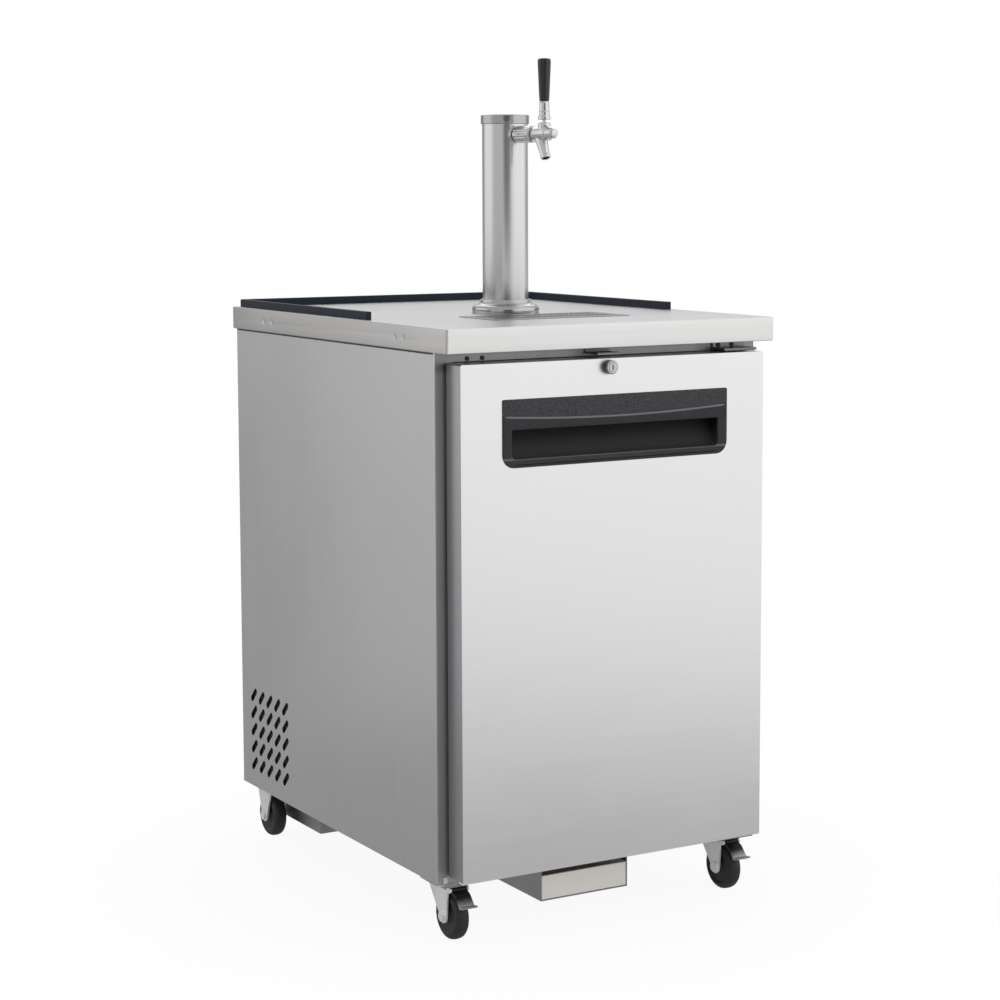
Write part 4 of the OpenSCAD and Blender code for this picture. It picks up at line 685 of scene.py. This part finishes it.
def makeBuffer(s):
    edge = softLine([(0.0, s["seat"]), (0.0, s["face"]), (s["faceEdge"], s["face"])], s["ease"])
    corners = np.maximum(s["corner"] - edge[:, 0], s["leastCorner"])
    (x0, x1), (z0, z1) = s["x"], s["z"]
    loops = [frameLoop(x0 + i, x1 - i, z0 + i, z1 - i, r) for i, r in zip(edge[:, 0], corners)]
    block = sheet(stackLoops(loops, edge[:, 1], "y"), wrapCols=True, capEnds=True)
    addPiece("footBuffer", [block], "bushNylon", "cabinet")


makeSeal(seal)
makeInnerSheet(innerSheet)
makeTrim(mouthTrim)
makeBuffer(buffer)
print("door pieces made")


# tower: three turned pieces on one upright axis; the foot's section is (radius, height, ease)
tower = dict(axis=(0.0, -46.0, 0.0), segments=144, tube=38.0, wall=1.5, z0=953.0, z1=1260.0, tubeEase=0.3,
             lid=40.0, lidGap=0.2, lidTop=1275.0, lidEases=[0.5, 2.4],
             foot=[(30.0, 949.0, 0.3), (56.0, 949.0, 0.8), (56.0, 958.6, 3.4), (51.5, 963.2, 3.0), (45.4, 964.4, 3.4),
                   (42.6, 968.0, 3.0), (41.6, 972.0, 0.9), (38.2, 972.0, 0.4), (38.2, 953.2, 0.2), (30.0, 953.2, 0.2)])


def makeTower(s):
    upright = ("z", s["axis"], s["segments"])
    bore, tube, z0, z1 = s["tube"] - s["wall"], s["tube"], s["z0"], s["z1"]
    wall = softLine([(bore, z0), (tube, z0), (tube, z1), (bore, z1)], s["tubeEase"], closed=True)
    addTurned("towerTube", wall, *upright, "towerSteel", "cabinet", "stainless", "tower_tube", ring=True)
    foot = np.array(s["foot"])
    flange = softLine(foot[:, :2], foot[:, 2], closed=True)
    addTurned("towerFoot", flange, *upright, "footChrome", "cabinet", "polished", "tower_flange", ring=True)
    low, top = z1 + s["lidGap"], s["lidTop"]
    lid = softLine([(0.0, low), (s["lid"], low), (s["lid"], top), (0.0, top)], s["lidEases"])
    addTurned("towerLid", lid, *upright, "lidSteel", "cabinet", "polished", "tower_cap")


makeTower(tower)


# tap: turned pieces on the barrel's axis, the lever's axis and the spout's leaning axis
tap = dict(y=-172.0, z=1242.0, pivot=1253.0, segments=64, barrelEase=2.2, bossEase=0.5, stemEase=0.7, gripEase=3.0,
           dome=10.5, domeBore=8.2, domeSteps=9, lean=25.5, spoutBack=14.0, spoutEase=0.8, spoutSegments=56,
           nutEase=0.6, nutSteps=6, nutSegments=160, nutRadius=14.0, nutRun=(-136.0, -95.0), nutLines=9,
           notches=16, notchDepth=0.055, notchPower=3, notchRun=(-137.0, -94.0), notchFade=3.0)
barrel = [(0.0, -204.0), (6.4, -203.2), (9.0, -198.6), (9.2, -187.5), (12.0, -183.8), (12.0, -150.0), (10.6, -144.5),
          (9.4, -143.2), (9.4, -140.3), (0.0, -140.3)]
spout = [(10.2, 0.0), (9.8, 12.0), (8.5, 27.0), (7.7, 37.5), (8.2, 39.5), (8.2, 43.0), (7.4, 44.0), (5.9, 44.0),
         (5.6, 41.0), (5.6, 12.0), (0.0, 12.0)]
stem = [(0.0, 1253.0), (3.2, 1253.0), (3.2, 1263.8), (9.9, 1263.8), (9.9, 1268.2), (8.5, 1271.0), (8.3, 1276.2),
        (8.8, 1277.1), (8.3, 1278.0), (7.8, 1290.5), (8.2, 1293.0), (0.0, 1293.0)]
grip = [(0.0, 1293.0), (7.8, 1293.0), (8.2, 1298.0), (9.4, 1326.0), (10.75, 1355.5), (9.9, 1361.0), (0.0, 1361.0)]
nut = [(9.1, -140.0), (12.6, -140.0), (14.0, -138.2), (14.0, -93.2), (13.2, -91.8), (10.6, -91.8), (10.6, -136.0),
       (9.1, -136.0)]


def makeTap(s):
    onBarrel, upright = (0.0, 0.0, s["z"]), ("z", (0.0, s["y"], 0.0), s["segments"])
    body = spin(softLine(barrel, s["barrelEase"]), "y", onBarrel, s["segments"])
    dome, z, pivot = s["dome"], s["z"], s["pivot"]
    boss = spin(softLine([(0.0, z), (dome, z), (dome, pivot), (0.0, pivot)], s["bossEase"]), *upright)
    lean = math.radians(s["lean"])
    axes = np.array([(1.0, 0.0, 0.0), (0.0, -math.cos(lean), math.sin(lean)), (0.0, -math.sin(lean), -math.cos(lean))])
    nozzle = spin(softLine(spout, s["spoutEase"]), "z", (0.0, 0.0, 0.0), s["spoutSegments"]) @ axes
    nozzle = nozzle + (0.0, s["y"] + s["spoutBack"], z)
    sheets = [sheet(part, wrapCols=True) for part in (body, boss, nozzle)]
    addPiece("tapBody", sheets, "tapChrome", "cabinet", ["faucet_body"])

    # dome: an arc round the pivot, up to the hole that the lever comes through
    rise = np.linspace(0.0, math.acos(s["domeBore"] / dome), s["domeSteps"])
    shell = np.stack([dome * np.cos(rise), pivot + dome * np.sin(rise)], -1)
    shell = np.concatenate([shell, [(s["domeBore"], pivot)]])
    addTurned("tapDome", shell, *upright, "tapChrome", "cabinet", "polished", "faucet_collar", ring=True)

    # knurl: hollows round the nut, a power of a raised cosine, faded out towards its ends
    def knurl(turn, y):
        fromEnds = (y - s["notchRun"][0]) / s["notchFade"], (s["notchRun"][1] - y) / s["notchFade"]
        fade = np.clip(fromEnds[0], 0.0, 1.0) * np.clip(fromEnds[1], 0.0, 1.0)
        return 1.0 - s["notchDepth"] * fade * (0.5 + 0.5 * np.cos(s["notches"] * turn)) ** s["notchPower"]

    ring = softLine(nut, s["nutEase"], s["nutSteps"], closed=True)
    rows = np.stack([np.full(s["nutLines"], s["nutRadius"]), np.linspace(*s["nutRun"], s["nutLines"])], -1)
    ring = np.insert(ring, 3 * s["nutSteps"], rows, axis=0)  # after the third corner, along the outer wall
    addTurned("tapNut", ring, "y", onBarrel, s["nutSegments"], "tapChrome", "cabinet", "polished", "coupling_nut",
              ring=True, ripple=knurl)

    addTurned("tapStem", softLine(stem, s["stemEase"]), *upright, "tapChrome", "tap", "polished", "tap_lever")
    addTurned("tapGrip", softLine(grip, s["gripEase"]), *upright, "knobBlack", "tap", "handle_black", "tap_handle")


makeTap(tap)
print("tower and tap made")


# wheels: tyre, web and boss in one turned section of (radius, distance, ease) on each axle
wheels = dict(axle=38.0, segments=96, steps=4,
              places=dict(front_left=("frontLeftTyre", -256.0, -318.0), front_right=("frontRightTyre", 256.0, -318.0),
                          rear_left=("rearLeftTyre", -256.0, 352.0), rear_right=("rearRightTyre", 256.0, 352.0)),
              section=[(5.1, -13.0, 0.3), (11.0, -13.0, 0.6), (11.0, -11.0, 1.0), (15.5, -9.6, 2.0), (26.0, -9.6, 2.0),
                       (28.0, -12.0, 1.2), (31.5, -12.0, 3.0), (36.6, -8.6, 4.0), (38.0, -3.0, 3.0), (38.0, 3.0, 3.0),
                       (36.6, 8.6, 4.0), (31.5, 12.0, 3.0), (28.0, 12.0, 1.2), (26.0, 9.6, 2.0), (15.5, 9.6, 2.0),
                       (11.0, 11.0, 1.0), (11.0, 13.0, 0.6), (5.1, 13.0, 0.3)])


def makeWheels(s):
    section = np.array(s["section"])
    profile = softLine(section[:, :2], section[:, 2], s["steps"], closed=True)
    for corner, (name, x, y) in s["places"].items():
        centre = (x, y, s["axle"])
        addTurned(name, profile, "x", centre, s["segments"], "tyreRubber", corner + "_roller", "wheel_black",
                  corner + "_wheel", ring=True)


makeWheels(wheels)
print("wheels made")


# back panel's screws: domed heads with a dimple, turned on axes that point backwards
backScrews = dict(y=395.0, columns=(-280.0, 280.0), rows=(318.0, 432.0, 546.0, 660.0, 774.0, 888.0),
                  middle=(-140.0, 0.0, 140.0), segments=20,
                  head=[(0.0, 0.0), (4.2, 0.0), (3.7, 1.2), (2.4, 2.0), (1.3, 2.1), (0.9, 1.2), (0.0, 1.2)])


def makeScrews(s):
    ends = (s["rows"][0], s["rows"][-1])
    places = [(x, z) for x in s["columns"] for z in s["rows"]] + [(x, z) for x in s["middle"] for z in ends]
    heads = [sheet(spin(s["head"], "y", (x, s["y"], z), s["segments"]), wrapCols=True) for x, z in places]
    addPiece("backScrews", heads, "zincPlate", "cabinet", sharp=60.0)


makeScrews(backScrews)


# dust screens behind the side vents: a felt sheet whose pleats follow a sine up the panel
screen = dict(x=286.5, y0=187.0, y1=371.0, z0=112.0, z1=286.0, wave=1.0, pitch=8.7, thick=0.8, steps=161)


def makeScreens(s):
    z = np.linspace(s["z0"], s["z1"], s["steps"])
    out = s["x"] + s["wave"] * np.sin(2 * np.pi * (z - s["z0"]) / s["pitch"])
    section = np.concatenate([np.stack([out, z], -1), np.stack([out - s["thick"], z], -1)[::-1]])
    for name, way in (("leftScreen", -1.0), ("rightScreen", 1.0)):
        felt = np.stack([np.insert(section * (way, 1.0), 1, y, axis=1) for y in (s["y0"], s["y1"])])
        addPiece(name, [sheet(felt, wrapCols=True, capEnds=True)], "screenFelt", "cabinet", sharp=60.0)


makeScreens(screen)
print("screens made")


# sheet metal and castings that keep their CAD shape, with eased edges: look, body, slot, width in mm
eased = dict(
    door_skin=("doorSteel", "door", "stainless", 1.4),
    side_panel_left=("panelSteel", "cabinet", "stainless", 0.5),
    side_panel_right=("panelSteel", "cabinet", "stainless", 0.5),
    front_frame=("frameSteel", "cabinet", "galvanised", 0.9),
    hinge_brackets=("hingeSteel", "cabinet", "dark_steel", 0.8),
    cabinet_screws=("blackPaint", "cabinet", "dark_steel", 0.5),
    lock_body=("lockSteel", "door", "polished", 0.6),
    lock_plug=("lockSteel", "lock", "polished", 0.4),
    drip_tray=("traySteel", "cabinet", "stainless", 0.4),
    drip_grille=("grilleSteel", "grille", "stainless", 0.5),
    pan_sleeve=("sleeveSteel", "cabinet", "dark_steel", 0.5),
    condensate_pan=("creamPlastic", "pan", "cream_plastic", 0.9),
    rear_forks=("zincPlate", "cabinet", "zinc", 0.9),
    front_left_fork=("zincPlate", "front_left_caster", "zinc", 0.9),
    front_right_fork=("zincPlate", "front_right_caster", "zinc", 0.9),
    left_brake_pedal=("pedalSteel", "left_brake", "dark_steel", 0.9),
    right_brake_pedal=("pedalSteel", "right_brake", "dark_steel", 0.9),
    evaporator_cover=("linerWhite", "cabinet", "liner_white", 1.0),
    thermostat_knob=("knobBlack", "dial", "black_plastic", 1.0),
    compressor=("motorBlack", "cabinet", "dark_steel", 1.5),
    machine_pan=("sleeveSteel", "cabinet", "dark_steel", 0.6),
    base_pan=("baseZinc", "cabinet", "galvanised", 0.6),
    rear_grille=("blackPaint", "cabinet", "dark_steel", 0.4),
    back_panel=("baseZinc", "cabinet", "galvanised", 0.4),
    keg_floor=("floorSteel", "cabinet", "stainless", 0.6),
)
easing = dict(merge=4e-6, flat=0.6, segments=2, angle=38.0)


# a copy of a CAD solid: its points are merged, its flat faces joined and its edges bevelled
def easeNode(node, look, body, width, s):
    work = bmesh.new()
    work.from_mesh(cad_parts[node].data)
    bmesh.ops.remove_doubles(work, verts=work.verts, dist=s["merge"])
    bmesh.ops.dissolve_limit(work, angle_limit=math.radians(s["flat"]), verts=work.verts, edges=work.edges)
    mesh = bpy.data.meshes.new(node + "Eased")
    work.to_mesh(mesh)
    work.free()
    piece = finishPiece(node + "Eased", mesh, look, body, (node,), s["angle"])
    ease = piece.modifiers.new("ease", "BEVEL")
    ease.width = width * weld["millimetre"]
    ease.segments = s["segments"]
    ease.limit_method = "ANGLE"
    ease.angle_limit = math.radians(s["angle"])
    ease.use_clamp_overlap = True


for node, (look, body, slot, width) in eased.items():
    easeNode(node, look, body, width, easing)
print("edges eased:", len(eased))


# floor and sky: white where the camera looks past them; the metal sees a bright side to the right, a fainter one to
# the left, dark flags in front, to the right and behind, and a floor that brightens towards the front right
studio = dict(floor=24.0, floorTone=0.86, floorRough=0.8, floorShine=0.1, floorGlow=0.93, glowReach=(0.3, 0.9),
              floorGloss=0.41, pool=0.45, poolWay=(0.6, -0.8, 0.0), poolReach=(0.8, 2.6),
              skyShare=0.08, bright=(0.75, -0.63, 0.20), brightEdge=(0.50, 0.90), dim=0.56, most=1.10,
              flags=[((-0.358, -0.926, 0.12), (0.93, 0.985), 0.46), ((0.983, 0.179, 0.05), (0.93, 0.99), 0.26),
                     ((-0.208, 0.976, 0.06), (0.92, 0.99), 0.30)],
              fill=(-0.784, 0.613, 0.10), fillEdge=(0.75, 0.95), fillRise=0.42, white=(1.0, 1.0, 1.0, 1.0))


def buildFloor(s):
    half = s["floor"] / 2
    mesh = bpy.data.meshes.new("studioFloor")
    mesh.from_pydata([(-half, -half, 0), (half, -half, 0), (half, half, 0), (-half, half, 0)], [], [(0, 1, 2, 3)])
    floor = bpy.data.objects.new("studioFloor", mesh)
    bpy.context.scene.collection.objects.link(floor)
    look = Look("studioFloor", Base_Color=(*[s["floorTone"]] * 3, 1.0), Roughness=s["floorRough"],
                Specular_IOR_Level=s["floorShine"])
    camera, glossy, through = look.rays()
    away = look.node("ShaderNodeVectorMath", dict(operation="LENGTH"), {0: look.place}, out=["Value"])[0]
    far = s["floorGlow"] + look.ramp(away, *s["glowReach"]) * (1.0 - s["floorGlow"])
    mirrored = s["floorGloss"] + look.ramp(look.along(look.place, s["poolWay"]), *s["poolReach"]) * s["pool"]
    strength = camera + through + glossy * mirrored
    glow = look.node("ShaderNodeEmission", {}, dict(Color=s["white"], Strength=strength))[0]
    share = (camera + through) * far + glossy
    mixed = look.node("ShaderNodeMixShader", {}, {0: share, 1: Wire(look, look.shader.outputs[0]), 2: glow})[0]
    look.tree.links.new(mixed.socket, look.tree.nodes["Material Output"].inputs[0])
    mesh.materials.append(look.mat)


def buildSky(s):
    world = bpy.data.worlds.new("studioSky")
    bpy.context.scene.world = world
    world.use_nodes = True
    sky = Nodes(world.node_tree)
    aim = sky.node("ShaderNodeTexCoord", {}, {}, out=["Generated"])[0]
    room = s["dim"] + sky.ramp(sky.along(aim, s["bright"]), *s["brightEdge"]) * (s["most"] - s["dim"])
    for way, edge, depth in s["flags"]:
        room = room - sky.ramp(sky.along(aim, way), *edge) * depth
    room = room + sky.ramp(sky.along(aim, s["fill"]), *s["fillEdge"]) * s["fillRise"]
    camera, glossy, through = sky.rays()
    seen = camera + through + glossy * s["skyShare"]
    level = sky.node("ShaderNodeMix", dict(data_type="FLOAT"), {0: seen, 2: room, 3: 1.0}, out=["Result"])[0]
    back = sky.tree.nodes["Background"]
    back.inputs["Color"].default_value = s["white"]
    sky.tree.links.new(level.socket, back.inputs["Strength"])


# lamps: the front one has no mirror image, which would clip to white on the tower, and the side one is nothing but a
# soft mirror image on the front half of the left panel
lamps = dict(
    topSoft=dict(place=(0.9, 1.6, 3.0), aim=(0.0, 0.0, 0.9), size=(2.6, 2.6), power=22.0),
    frontSoft=dict(place=(-0.6, -4.2, 1.3), aim=(0.0, -0.3, 0.4), size=(2.0, 2.0), power=21.0, glossy=False),
    sideSoft=dict(place=(-1.1, 0.85, 0.46), aim=(-0.29, -0.37, 0.46), size=(0.6, 0.9), power=0.45, diffuse=False),
)


def addLamp(name, place, aim, size, power, glossy=True, diffuse=True):
    data = bpy.data.lights.new(name, "AREA")
    data.shape = "RECTANGLE"
    data.size, data.size_y = size
    data.energy = power
    lamp = bpy.data.objects.new(name, data)
    bpy.context.scene.collection.objects.link(lamp)
    z = np.array(place, float) - np.array(aim, float)
    z /= np.linalg.norm(z)
    x = np.cross((0.0, 0.0, 1.0), z)
    x /= np.linalg.norm(x)
    y = np.cross(z, x)
    lamp.matrix_world = Matrix([(x[i], y[i], z[i], place[i]) for i in range(3)] + [(0, 0, 0, 1)])
    lamp.visible_glossy, lamp.visible_diffuse = glossy, diffuse


buildFloor(studio)
buildSky(studio)
for name, s in lamps.items():
    addLamp(name, **s)
bpy.context.scene.view_settings.view_transform = "Standard"
print("studio lit")
